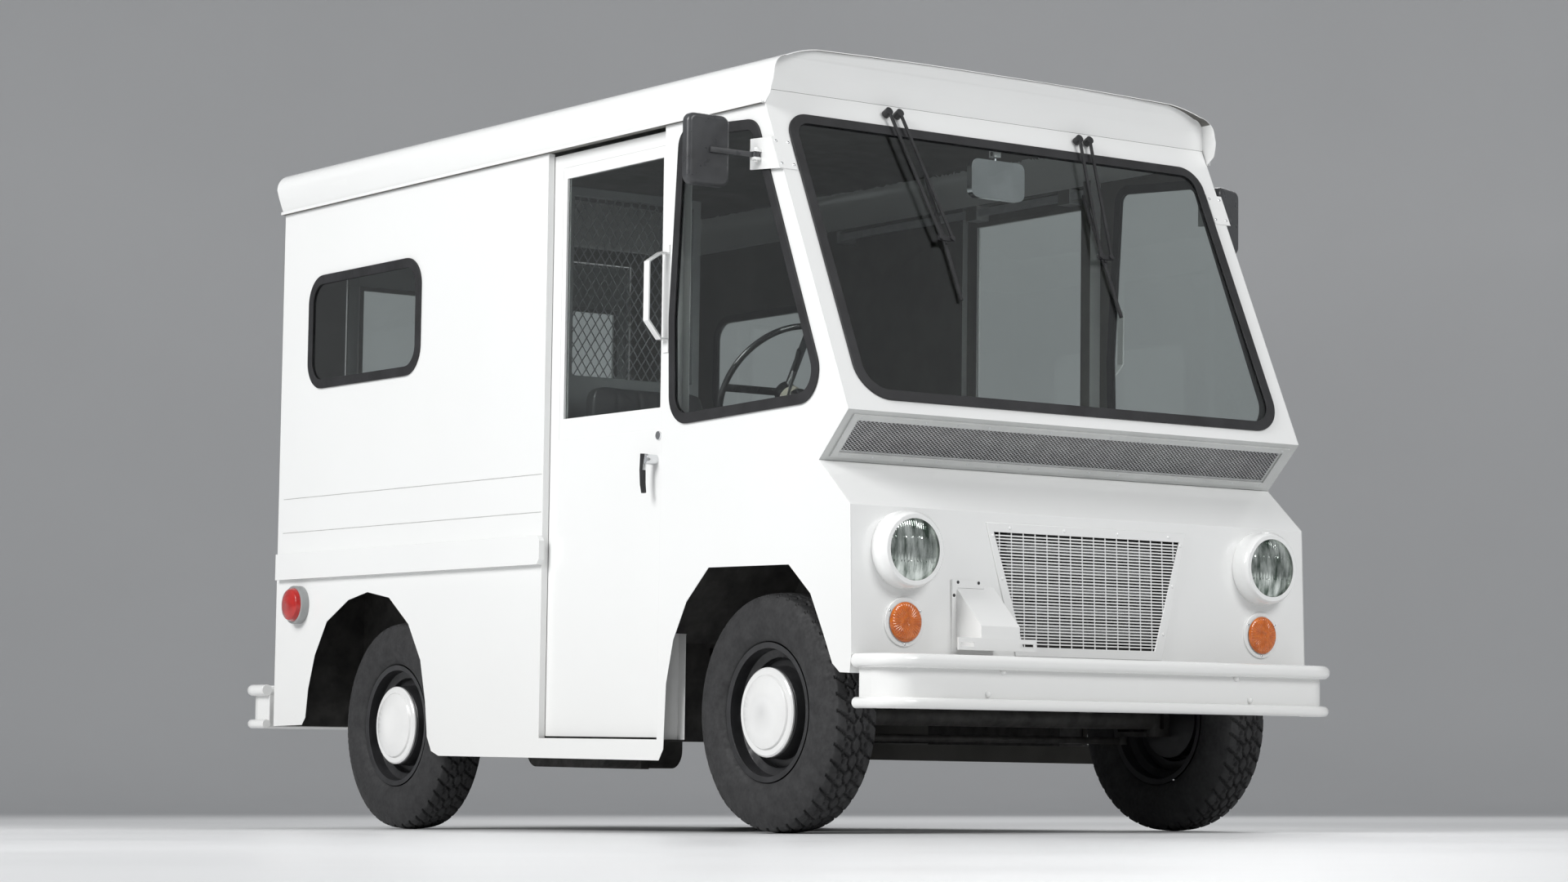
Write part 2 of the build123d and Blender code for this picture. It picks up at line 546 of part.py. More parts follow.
def tail_lamp():
    """Round grey housing on the body side and the red lens on it."""
    x, y, z = -BODY_HALF, 2769.0, 726.0
    housing = rod((x, y, z), (x - 30, y, z), 67)
    points = [(x - 30, 0), (x - 30, 60), (x - 46, 54), (x - 56, 30), (x - 58, 0)]
    face = Face(Wire.make_polygon([Vector(a, y, z + r) for a, r in points], close=True))
    return housing, Solid.revolve(face, 360, Axis((x, y, z), (1, 0, 0)))


def front_housing():
    """Sheet box with a sloping cover right of the grille, and the plate bracket across it."""
    x0, x1 = -503.0, -361.0
    face = NOSE_LOW[0]
    cover = side_plate([(face + 6, 718), (-582, 601), (-582, 540), (face, 540)], x0, x1)
    cover -= side_plate([(face + 6, 713), (-580, 598), (-580, 530), (face + 6, 530)], x0 + 2, x1 - 2)
    cover &= ahead_of_nose()
    flange = front_plate([(-520, 735), (-402, 735), (-402, 528), (-520, 528)], -480, -440) & ahead_of_nose()
    flange &= block(-600, -300, NOSE_LOW[0] - 3, -400, 500, 740)
    flange -= block(x0 + 2, x1 - 2, -500, -400, 500, 712)
    plate = block(-589, -303, -585, -582, 531, 566)
    plate -= block(-580, -530, -590, -580, 541, 553)
    plate -= block(-362, -312, -590, -580, 541, 553)
    return cover + flange + plate


def bumper_path(front, rear_end):
    """Plan centre line of a bumper: straight across with bent-back corners."""
    sign = 1 if rear_end > front else -1
    x, bend = BUMPER_HALF - ROLL_TOP_R, BUMPER_BEND - ROLL_TOP_R
    line = [Line((-x, rear_end), (-x, front + sign * bend)),
            RadiusArc((-x, front + sign * bend), (-x + bend, front), -sign * bend),
            Line((-x + bend, front), (x - bend, front)),
            RadiusArc((x - bend, front), (x, front + sign * bend), -sign * bend),
            Line((x, front + sign * bend), (x, rear_end))]
    return line


def bumper(front, rear_end, z_top, z_low, bracket_y, arm_z):
    """Rolled bumper: two round beads, a recessed web and two arms from the chassis rails."""
    sign = 1 if rear_end > front else -1
    y = front + sign * ROLL_TOP_R
    path = Wire(bumper_path(y, rear_end))
    beads = []
    for z, radius in ((z_top, ROLL_TOP_R), (z_low, ROLL_LOW_R)):
        moved = path.moved(Location((0, 0, z)))
        profile = Plane(origin=moved @ 0, z_dir=moved % 0) * Circle(radius)
        beads.append(sweep(profile, path=moved))
    middle = path.moved(Location((0, 0, (z_top + z_low) / 2)))
    start = Plane(origin=middle @ 0, x_dir=(1, 0, 0), z_dir=middle % 0)
    web = sweep(start * (Pos(ROLL_LOW_R - 4, 0) * Rectangle(4, z_top - z_low)), path=middle)
    bar = beads[0] + beads[1] + web
    for side in (-1, 1):
        x0, x1 = sorted((side * RAIL_IN, side * RAIL_OUT))
        near, far = sorted((front + sign * (ROLL_TOP_R * 2 - 6), bracket_y))
        arm = block(x0, x1, near, far, *arm_z)
        bar += arm - block(x0 + 4, x1 - 4, near - 1, far + 1, arm_z[0] - 4, arm_z[1] - 4)
    return bar


def grab_handle():
    """Flat-bar hand hold on the front corner of the right door opening."""
    x = -BODY_HALF
    bar = [(x - 5, 1768), (x, 1768), (x, 1738), (x - 28, 1738), (x - 72, 1709), (x - 72, 1534),
           (x - 28, 1482), (x, 1482), (x, 1438), (x - 5, 1438), (x - 5, 1476), (x - 31, 1476),
           (x - 78, 1531), (x - 78, 1712), (x - 31, 1744), (x - 5, 1744)]
    return front_plate(bar, 466, 494)


# ---------------------------------------------------------------- mirrors and wipers
MIRROR_PIN = (-905.0, -12.0, 1980.0)
MIRROR_DEPTH = 30.0
MIRROR_FOLD = 22.0          # degrees that the left head stands folded back
INNER_PIN_R = 7.0           # cross pin that the interior mirror tilts on


def mirror_bracket():
    """Angle plate on the windshield pillar with two ears for the mirror's pin."""
    px, py, pz = MIRROR_PIN
    low, high = up_slope(1930), up_slope(2028)
    front_leaf = WINDSHIELD * (Pos(-859, (low + high) / 2, 1.5) * Box(66, high - low, 3))
    side_leaf = side_plate([(slope_y(1930) - 3, 1930), (34, 1942), (34, 2034), (slope_y(2028) - 3, 2028)],
                           -892, -889)
    ears = block(px - 12, -889, py - 12, py + 12, pz - 16, pz - 8 - RUN)
    ears += block(px - 12, -889, py - 12, py + 12, pz + 8 + RUN, pz + 16)
    return front_leaf + side_leaf + ears + rod((px, py, pz - 22), (px, py, pz + 22), 6)


def exterior_mirror():
    """Mirror head with its arm, swivelling on the pin of the bracket."""
    px, py, pz = MIRROR_PIN
    cx, front, cz = -1064.0, -4.0, 1980.0
    shell = Pos(cx, front + MIRROR_DEPTH / 2, cz) * Box(150, MIRROR_DEPTH, 210)
    shell = fillet(shell.edges().filter_by(Axis.Y), 28)
    shell = fillet(shell.faces().sort_by(Axis.Y)[0].edges(), 14)
    arm = block(cx, px - 4, front - 6, front + 1, cz - 8, cz + 8)
    arm += rod((px, py, pz - 8), (px, py, pz + 8), 11)
    arm -= rod((px, py, pz - 9), (px, py, pz + 9), 6 + FIT)
    glass = Pos(cx, front + MIRROR_DEPTH + 0.5, cz) * Box(132, 1.6, 192)
    glass = fillet(glass.edges().filter_by(Axis.Y), 20)
    return shell + arm - glass, glass


def folded_left_mirror():
    """Left head and its glass, standing folded back on the pin."""
    px, py, _ = MIRROR_PIN
    fold = Pos(-px, py, 0) * Rot(0, 0, MIRROR_FOLD) * Pos(px, -py, 0)
    return [fold * left(piece) for piece in exterior_mirror()]


def interior_mirror():
    y = slope_y(2010) + 60
    shell = Pos(0, y, 1995) * Box(210, 24, 120)
    shell = fillet(shell.edges().filter_by(Axis.Y), 26)
    stem = rod((0, y + 6, 2040), (0, y + 6, 2078), 5)
    return shell + stem + rod((-13, y + 6, 2078), (13, y + 6, 2078), INNER_PIN_R)


def interior_mirror_bracket():
    y = slope_y(2010) + 66
    top = block(-45, 45, slope_y(2125) + 20, y + 20, 2116, 2122)
    cup = Pos(0, y, 2078) * Box(26, 26, 22) - rod((-14, y, 2078), (14, y, 2078), INNER_PIN_R + FIT)
    cup -= rod((0, y, 2050), (0, y, 2078), 8)
    web = block(-3, 3, y - 12, y + 12, 2088, 2117)
    return top + cup + web




def wiper_arm(x, lean):
    """One arm in windshield coordinates, from its spindle down to its lower pivot."""
    a, b = (x, WIPER_TOP), (x + lean, WIPER_LOW)
    angle = math.degrees(math.atan2(b[1] - a[1], b[0] - a[0]))
    length = math.hypot(b[0] - a[0], b[1] - a[1])
    bar = Pos((a[0] + b[0]) / 2, (a[1] + b[1]) / 2, 25) * (Rot(0, 0, angle) * Box(length, 9, 6))
    head = Pos(a[0], a[1], 16.5) * Cylinder(13, 23 - 2 * RUN)
    spindle = Pos(a[0], a[1], 2) * Cylinder(WIPER_PIN_R, 30)
    foot = Pos(b[0], b[1], 25) * Cylinder(8, 6)
    return WINDSHIELD * (bar + head + spindle + foot - Pos(b[0], b[1], 25) * Cylinder(4 + FIT, 8))


def wiper_blade(x, lean):
    """Blade carrier with two pins for the arms, and the blade on it."""
    mid = x + lean + ARM_GAP / 2
    carrier = Pos(mid, WIPER_LOW, 19.5) * Box(ARM_GAP + 18, 16, 4.4)
    for px in (x + lean, x + lean + ARM_GAP):
        carrier += Pos(px, WIPER_LOW, 24) * Cylinder(4, 9)
    stem = Pos(mid, WIPER_LOW, 15) * Box(8, 30, 6)
    blade = Pos(mid, (up_slope(1567) + up_slope(1965)) / 2, 10)
    blade = blade * Box(9, up_slope(1965) - up_slope(1567), 5)
    rubber = Pos(mid, (up_slope(1567) + up_slope(1965)) / 2, 5) * Box(3, up_slope(1965) - up_slope(1567), 6)
    return WINDSHIELD * (carrier + stem + blade + rubber)


# ---------------------------------------------------------------- cab
def seat_parts():
    """Driver's seat: box pedestal, cushion and back rest."""
    pedestal = block(-690, -400, 690, 1040, FLOOR_Z + 4, 840)
    pedestal -= block(-686, -404, 694, 1036, FLOOR_Z + 4, 836)
    pedestal += block(-780, -348, 650, 1064, 840, 852)
    frame = block(-740, -700, 1064, 1112, 840, 1250) + block(-430, -390, 1064, 1112, 840, 1250)
    pedestal += frame - block(-800, -300, 1060, 1099.7, 860, 1300)
    cushion = block(-790, -338, 640, 1056, 852.3, 975)
    cushion = fillet(cushion.edges().filter_by(Axis.Z), 40)
    back = block(-796, -332, 1020, 1099.4, 985, 1402)
    back = fillet(back.edges().filter_by(Axis.Y), 40)
    return pedestal, cushion, back


def partition():
    """Bulkhead behind the driver: lower panel and a framed screen above it."""
    x0, x1, y = -785.0, -262.0, BULKHEAD_Y
    low = block(x0, x1, y, y + 3, FLOOR_Z + 4, 1405)
    frame = block(x0, x1, y, y + 22, 1405, 2045) - block(x0 + 28, x1 - 28, y - 1, y + 23, 1433, 2017)
    screen = block(x0 + 28, x1 - 28, y + 8, y + 10, 1433, 2017)
    post = block(x1 - 28, x1, y, y + 22, FLOOR_Z + 4, 1405) - low
    return [low + frame + post, screen]


def tilted_ring(centre, major, minor):
    n = Vector(0, math.sin(math.radians(STEER_TILT)), math.cos(math.radians(STEER_TILT)))
    return Solid.make_torus(major, minor, Plane(origin=centre, x_dir=(1, 0, 0), z_dir=n))


def steer_axis():
    t = math.radians(STEER_TILT)
    return Vector(0, math.sin(t), math.cos(t))


def steering_wheel():
    """Rim, three spokes and hub; the short shaft turns in the column."""
    n, hub = steer_axis(), Vector(*STEER_HUB)
    place = Plane(origin=hub, x_dir=(1, 0, 0), z_dir=n)
    wheel = tilted_ring(hub + n * 18, STEER_R, 9.5)
    for angle in (180, 0, 270):
        spoke = Pos(STEER_R / 2, 0, 12) * Box(STEER_R - 6, 22, 9)
        wheel += place * (Rot(0, 0, angle) * spoke)
    wheel += rod(hub - n * 14, hub + n * 22, 34)
    return wheel + rod(hub - n * 90, hub, 11)


def steering_column():
    """Fixed tube from the deck to the steering wheel, with its collar."""
    n, hub = steer_axis(), Vector(*STEER_HUB)
    top = hub - n * (14 + RUN)
    foot = hub - n * 680
    bore = rod(hub - n * 95, hub, 11 + FIT)
    column = rod(top, foot, 25) + rod(top, top - n * 70, COLLAR_R) - bore
    keep = block(-900, 0, DASH_Y, 900, DECK_Z + 4, 1400)
    return column & keep


COLLAR_R = 38.0


def gear_lever():
    """Shift lever on the column: ring, rod and grip, kept on the dash side of the wheel."""
    n, hub = steer_axis(), Vector(*STEER_HUB)
    base = hub - n * 60
    ring = tube(base - n * 12, base + n * 12, COLLAR_R + 9, COLLAR_R + RUN)
    start, tip = base + Vector(-40, 0, 0), base + Vector(-66, -100, 152)
    along = (tip - start).normalized()
    bare = rod(start, tip, 5) + rod(tip - along * 70, tip, 9)
    return ring + (bare - rod(base - n * 40, base + n * 40, COLLAR_R + RUN))


PEDAL_PIVOT = (-60.0, 1000.0)       # (y, z) of the shaft that both pedals hang from
PEDAL_PIN_R = 7.0


def pedal(x, width, height):
    """Hanging foot pedal: pivot eye, arm and pad."""
    pivot, pad = Vector(x, *PEDAL_PIVOT), Vector(x, 90, 885)
    arm = rod(pivot, pad, 8) + rod(pivot - Vector(16, 0, 0), pivot + Vector(16, 0, 0), 14)
    plate = Plane(origin=pad, x_dir=(1, 0, 0), z_dir=(0, 0.7, 0.71)) * Box(width, height, 10)
    return arm + plate - rod(pivot - Vector(30, 0, 0), pivot + Vector(30, 0, 0), PEDAL_PIN_R + FIT)


def pedal_bracket():
    """Cross shaft and cheeks that carry both pedals, fixed to the dash."""
    y, z = PEDAL_PIVOT
    bracket = rod((-660, y, z), (-420, y, z), PEDAL_PIN_R)
    for x in (-660, -424):
        bracket += block(x, x + 4, DASH_Y, y + 14, z - 18, z + 14)
    return bracket


# ---------------------------------------------------------------- chassis
def chassis_frame():
    """Two channel rails and five cross members."""
    rails = []
    for sign in (-1, 1):
        x0, x1 = sorted((sign * RAIL_IN, sign * RAIL_OUT))
        rail = block(x0, x1, RAIL_FRONT, RAIL_REAR, RAIL_Z0, RAIL_Z1)
        gap = sorted((sign * (RAIL_IN - 5), sign * (RAIL_OUT - 5)))
        rails.append(rail - block(gap[0], gap[1], -500, 3000, RAIL_Z0 + 5, RAIL_Z1 - 5))
    frame = rails[0] + rails[1]
    for y in (-440, 560, 1240, 2520, 2860):
        member = block(-RAIL_OUT + 5, RAIL_OUT - 5, y, y + 60, RAIL_Z0 + 40, RAIL_Z1 - 5)
        frame += member - block(-RAIL_OUT + 5, RAIL_OUT - 5, y + 4, y + 56, RAIL_Z0 + 44, RAIL_Z1 - 5)
    return frame


def leaf(y, z, half, rise, x):
    """One spring leaf, arched upwards at both ends."""
    low = [(y - half, z + rise), (y, z), (y + half, z + rise)]
    arcs = [ThreePointArc(*[(x - 25, a, b) for a, b in low]),
            ThreePointArc(*[(x - 25, a, b + 10) for a, b in low])]
    ends = [Line(arcs[0] @ 0, arcs[1] @ 0), Line(arcs[0] @ 1, arcs[1] @ 1)]
    return Solid.extrude(Face(Wire(arcs + ends)), Vector(50, 0, 0))


def spring_pack(y, z_pad, half, x):
    """Three leaves seated on the axle; the longest touches the chassis rail at its ends."""
    rise = RAIL_Z0 - z_pad - 30
    pack = leaf(y, z_pad + 20, half, rise, x)
    for k, share in ((1, 0.7), (0, 0.42)):
        pack += leaf(y, z_pad + 10 * k, half * share, rise * share * share, x)
    return pack + block(x - 32, x + 32, y - 45, y + 45, z_pad - 10, z_pad + 6)


AXLE_R = 32.0


def front_axle():
    beam = rod((-KINGPIN_X + 20, 0, TYRE_R), (KINGPIN_X - 20, 0, TYRE_R), AXLE_R)
    for sign in (-1, 1):
        beam += rod((sign * KINGPIN_X, 0, TYRE_R - 30), (sign * KINGPIN_X, 0, TYRE_R + 30), 24)
        beam -= rod((sign * KINGPIN_X, 0, TYRE_R - 40), (sign * KINGPIN_X, 0, TYRE_R + 40), KINGPIN_R + FIT)
    return beam


def rear_axle():
    y, z = REAR_AXLE
    axle = rod((-TRACK_HALF + 60, y, z), (TRACK_HALF - 60, y, z), AXLE_R)
    axle += Pos(0, y, z) * Sphere(112)
    axle += rod((0, y - 150, z), (0, y - 60, z), 45)
    return axle + rod((-TRACK_HALF - 30, y, z), (TRACK_HALF + 30, y, z), SPINDLE_R)


def springs():
    packs = []
    for x in (-(RAIL_IN + RAIL_OUT) / 2, (RAIL_IN + RAIL_OUT) / 2):
        packs.append(spring_pack(0, TYRE_R + AXLE_R - 8, 430, x) - front_axle())
        packs.append(spring_pack(REAR_AXLE[0], REAR_AXLE[1] + AXLE_R - 8, 520, x) - rear_axle())
    return packs


def steering_knuckle():
    """Right knuckle: kingpin, yoke, wheel spindle and the arm to the tie rod."""
    x, z = -KINGPIN_X, TYRE_R
    knuckle = rod((x, 0, z - 55), (x, 0, z + 55), KINGPIN_R)
    for z0 in (z - 55, z + 30 + RUN):
        knuckle += block(x - 50, x, -20, 20, z0, z0 + 25 - RUN)
        knuckle += rod((x, 0, z0), (x, 0, z0 + 25 - RUN), 19.5)
    knuckle += block(x - 50, x - 28, -20, 20, z - 55, z + 55)
    knuckle += rod((x - 45, 0, z), (-TRACK_HALF - 30, 0, z), SPINDLE_R)
    knuckle += block(x - 14, x + 14, 10, TIE_Y + 12, z - 55, z - 40)
    return knuckle + rod((x, TIE_Y, TIE_Z - 26), (x, TIE_Y, z - 45), 8)


def tie_rod():
    """Track rod joining both steering arms behind the axle."""
    z = TIE_Z - 14
    bar = rod((-KINGPIN_X + 14, TIE_Y, z), (KINGPIN_X - 14, TIE_Y, z), 11)
    bar += rod((-KINGPIN_X, TIE_Y, z - 12), (-KINGPIN_X, TIE_Y, z + 12), 18)
    bar += rod((KINGPIN_X, TIE_Y, z - 12), (KINGPIN_X, TIE_Y, z + 12), 18)
    bar -= rod((-KINGPIN_X, TIE_Y, z - 20), (-KINGPIN_X, TIE_Y, z + 20), 8 + FIT)
    return bar - rod((KINGPIN_X, TIE_Y, z - 20), (KINGPIN_X, TIE_Y, z + 20), 8 + RUN)


def tyre(centre):
    """Tyre at a right-hand wheel, with -x outwards."""
    half = TYRE_W / 2
    outline = [(-66, 192), (-80, 215), (-half, 262), (-half, 290), (-84, 320), (-74, 342), (-60, TYRE_R - 3),
               (0, TYRE_R), (60, TYRE_R - 3), (74, 342), (84, 320), (half, 290), (half, 262), (80, 215),
               (66, 192), (52, 192), (64, 215), (74, 262), (72, 300), (58, 328), (0, 336), (-58, 328),
               (-72, 300), (-74, 262), (-64, 215), (-52, 192)]
    return ring_of(outline, centre)


def rim(centre):
    """Pressed wheel: rim bed, raised disc and the hub that runs on the spindle."""
    bed = ring_of([(-74, 208), (-68, 208), (-66, 191.5), (-30, 189), (-24, 166), (24, 166), (30, 189),
                     (66, 191.5), (68, 208), (74, 208), (71, 187), (34, 184), (27, 161), (-27, 161),
                     (-34, 184), (-71, 187)], centre)
    disc = ring_of([(-8, 163), (-12, 150), (-12, 137), (-60, 132), (-66, 124), (-66, 40), (-61, 40),
                    (-61, 120), (-56, 127), (-7, 132), (-7, 152), (-3, 163)], centre)
    hub = ring_of([(-61, 62), (-61, SPINDLE_R + 14), (-40, SPINDLE_R + FIT), (30, SPINDLE_R + FIT),
                   (30, 40), (20, 120), (-20, 120), (-20, 50), (-50, 50)], centre)
    return (bed + disc + hub) - tyre(centre)


def hub_cap(centre):
    shell = [(-66, 131), (-72, 131), (-76, 126), (-76, 110), (-82, 106), (-89, 70), (-93, 0), (-90, 0),
             (-86, 68), (-79, 103), (-73, 108), (-66, 120)]
    return ring_of(shell, centre)


def engine():
    """Engine block with head, sump, gearbox and air cleaner."""
    block_ = block(-125, 125, -240, 300, 430, 690)
    sump = block(-100, 100, 60, 260, 362, 430)
    head = block(-90, 90, -225, 285, 690, 760)
    bell = block(-110, 110, 300, 380, 400, 640)
    box = block(-80, 80, 380, 700, 380, 545) - block(-400, 400, 555, 625, 485, 560)
    mounts = block(-RAIL_OUT + 5, -100, -60, 20, 470, 500) + block(100, RAIL_OUT - 5, -60, 20, 470, 500)
    cleaner = rod((-40, 60, 760), (-40, 60, 792), 70)
    return block_ + sump + head + bell + box + mounts + cleaner


def propeller_shaft():
    y, z = REAR_AXLE
    return rod((0, 690, 430), (0, y - 140, z), 30) - engine() - rear_axle()


def radiator():
    """Core, tanks and the two side straps that hold it to the chassis."""
    core = block(-305, 305, -432, -382, 582, 770)
    tanks = block(-305, 305, -436, -376, 770, 798) + block(-305, 305, -436, -376, 556, 582)
    straps = block(-345, -305, -425, -385, RAIL_Z1, 640) + block(305, 345, -425, -385, RAIL_Z1, 640)
    fan = rod((0, -290, 610), (0, -240, 610), 20) + rod((0, -300, 610), (0, -290, 610), 140)
    return [core + tanks + straps, fan]


def fuel_tank():
    tank = block(-690, -400, 1060, 1540, 175, 440)
    tank = fillet(tank.edges().filter_by(Axis.X), 60)
    space = block(-687, -403, 1063, 1537, 178, 437)
    space = fillet(space.edges().filter_by(Axis.X), 57)
    strap = block(-560, -530, 1058, 1542, 173, 452) - space
    lug = block(-RAIL_OUT - 12, -RAIL_OUT, 1200, 1400, 430, 540) + block(-600, -RAIL_OUT, 1280, 1320, 440, 452)
    tank += strap + lug + rod((-640, 1500, 395), (-740, 1500, 520), 26)
    return tank - space - rod((-640, 1500, 395), (-740, 1500, 520), 22)


# ---------------------------------------------------------------- gather, place and write
def wheel_centres():
    y, z = REAR_AXLE
    return {"front": (-TRACK_HALF, 0, TYRE_R), "rear": (-TRACK_HALF, y, z)}


def build():
    nodes = {}
    windows, glass, seals = all_windows()
    side = body_side(windows)
    nodes["body_sides"] = solids(both(side), both(rub_rail()))
    nodes["windshield_surround"] = solids(windshield_surround(windows))
    nodes["nose_panel"] = solids(nose_panel())
    nodes["roof_cap"] = solids(roof_cap())
    nodes["rear_end_panel"] = solids(rear_end_panel(), [h for r in rear_hinge() for h in both(r)])
    nodes["floor_pan"] = solids(floor_pan())
    nodes["dash_panel"] = solids(dash_panel())
    nodes["window_glass"] = solids(glass)
    nodes["window_seals"] = solids(seals)
    nodes["door_tracks"] = solids(both(door_track()))
    for name, turn in (("right", lambda shape: shape), ("left", left)):
        nodes["sliding_door_" + name] = solids(turn(sliding_door()), turn(door_glass()))
        nodes["door_handle_" + name] = solids(turn(door_handle()))
        nodes["rear_door_" + name] = solids(turn(rear_door()), turn(rear_door_glass()))
        nodes["steering_knuckle_" + name] = solids(turn(steering_knuckle()))
        for axle, centre in wheel_centres().items():
            nodes["tyre_%s_%s" % (axle, name)] = solids(turn(tyre(centre)))
            nodes["wheel_%s_%s" % (axle, name)] = solids(turn(rim(centre)), turn(hub_cap(centre)))
    nodes["mirror_head_right"] = solids(*exterior_mirror())
    nodes["mirror_head_left"] = solids(*folded_left_mirror())
    handle_bore = rod((HANDLE_X, 2900, HANDLE_Z), (HANDLE_X, 3000, HANDLE_Z), HANDLE_R + FIT)
    nodes["rear_door_right"] = solids(rear_door() - handle_bore, rear_door_glass())
    nodes["rear_door_handle"] = solids(rear_door_handle())
    nodes["intake_frame"] = solids(*intake_frame())
    nodes["radiator_grille"] = solids(radiator_grille())
    nodes["head_lamps"] = solids(both(head_lamp_bezel()), both(head_lamp()))
    nodes["turn_signals"] = solids(both(signal_flange()), both(signal_lens()))
    nodes["tail_lamps"] = solids([item for piece in tail_lamp() for item in both(piece)])
    nodes["front_housing"] = solids(front_housing())
    nodes["bumpers"] = solids(bumper(BUMPER_FRONT, -468, 496, 378, RAIL_FRONT, FRONT_ARM_Z),
                              bumper(BUMPER_REAR, 3034, 427, 306, RAIL_REAR, REAR_ARM_Z))
    nodes["grab_handles"] = solids(both(grab_handle()))
    nodes["mirror_brackets"] = solids(both(mirror_bracket()), interior_mirror_bracket())
    nodes["interior_mirror"] = solids(interior_mirror())
    for name, (x, lean) in WIPERS.items():
        nodes["wiper_arm_" + name] = solids(wiper_arm(x, lean))
        nodes["wiper_link_" + name] = solids(wiper_arm(x + ARM_GAP, lean))
        nodes["wiper_blade_" + name] = solids(wiper_blade(x, lean))
    pedestal, cushion, back = seat_parts()
    nodes["seat_pedestal"] = solids(pedestal)
    nodes["seat_cushions"] = solids(cushion, back)
    nodes["partition_screen"] = solids(partition())
    nodes["steering_wheel"] = solids(steering_wheel())
    nodes["steering_column"] = solids(steering_column(), pedal_bracket())
    nodes["gear_lever"] = solids(gear_lever())
    nodes["brake_pedal"] = solids(pedal(-600, 70, 60))
    nodes["throttle_pedal"] = solids(pedal(-480, 50, 110))
    nodes["chassis_frame"] = solids(chassis_frame())
    nodes["axles"] = solids(front_axle(), rear_axle())
    nodes["leaf_springs"] = solids(springs())
    nodes["tie_rod"] = solids(tie_rod())
    nodes["drive_line"] = solids(engine(), propeller_shaft(), radiator())
    nodes["fuel_tank"] = solids(fuel_tank())
    return nodes


def end_y(y, z, outwards):
    """Place along the finished model of a bumper bead whose centre lies at (y, z)."""
    t = math.radians(RAKE)
    return y * math.cos(t) - (z - TYRE_R) * math.sin(t) + outwards * ROLL_TOP_R


def placement():
    """Nose-down rake about the front axle, then the origin to the bottom centre."""
    ends = (end_y(BUMPER_FRONT + ROLL_TOP_R, 496, -1), end_y(BUMPER_REAR - ROLL_TOP_R, 427, 1))
    shift = -(ends[0] + ends[1]) / 2
    return Pos(0, shift, TYRE_R) * Rot(RAKE, 0, 0) * Pos(0, 0, -TYRE_R)


def main():
    os.makedirs("parts", exist_ok=True)
    place = placement()
    for name, shape in build().items():
        export_step(shape.moved(place), "parts/%s.step" % name)
        print(name, len(shape.solids()))


if __name__ == "__main__":
    main()
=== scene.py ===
"""Looks of the mail delivery truck: painted shell, glazing, wheels, cab and running gear."""
import json
import math
import bmesh
import bpy
import numpy as np
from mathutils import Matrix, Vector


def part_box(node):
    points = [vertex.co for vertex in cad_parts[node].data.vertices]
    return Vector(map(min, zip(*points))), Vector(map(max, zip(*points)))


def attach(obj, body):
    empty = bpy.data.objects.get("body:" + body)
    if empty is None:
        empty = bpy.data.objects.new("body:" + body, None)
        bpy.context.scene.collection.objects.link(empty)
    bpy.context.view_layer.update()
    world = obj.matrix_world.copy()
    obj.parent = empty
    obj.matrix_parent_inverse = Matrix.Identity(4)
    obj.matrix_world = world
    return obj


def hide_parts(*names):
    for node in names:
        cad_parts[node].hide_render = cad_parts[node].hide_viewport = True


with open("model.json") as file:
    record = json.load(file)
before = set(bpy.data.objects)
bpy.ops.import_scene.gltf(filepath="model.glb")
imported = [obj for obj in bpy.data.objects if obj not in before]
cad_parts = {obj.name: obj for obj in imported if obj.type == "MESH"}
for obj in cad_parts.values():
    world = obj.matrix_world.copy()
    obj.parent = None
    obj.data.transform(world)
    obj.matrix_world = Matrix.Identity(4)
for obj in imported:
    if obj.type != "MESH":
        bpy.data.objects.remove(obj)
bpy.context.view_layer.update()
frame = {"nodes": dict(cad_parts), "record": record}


# ---------------------------------------------------------------- studio
# A pale floor that rises in one sweep into a pale wall all round the truck, lit by three large
# soft discs and a weak fill, with a long lens close to the ground off the truck's right nose.
def linked(name, data):
    """A new object for the data, at the origin, in the scene."""
    item = bpy.data.objects.new(name, data)
    bpy.context.scene.collection.objects.link(item)
    return item


def grid_mesh(name, points, wrap_rows=False, wrap_columns=False):
    """Quads between neighbouring points of a rows by columns grid, closed where it wraps."""
    rows, columns = points.shape[:2]
    i = np.arange(rows if wrap_rows else rows - 1)[:, None]
    j = np.arange(columns if wrap_columns else columns - 1)[None, :]
    i1, j1 = (i + 1) % rows, (j + 1) % columns
    quads = np.stack([i * columns + j, i * columns + j1, i1 * columns + j1, i1 * columns + j], -1)
    mesh = bpy.data.meshes.new(name)
    mesh.from_pydata(points.reshape(-1, 3).tolist(), [], quads.reshape(-1, 4).tolist())
    mesh.update()
    return mesh


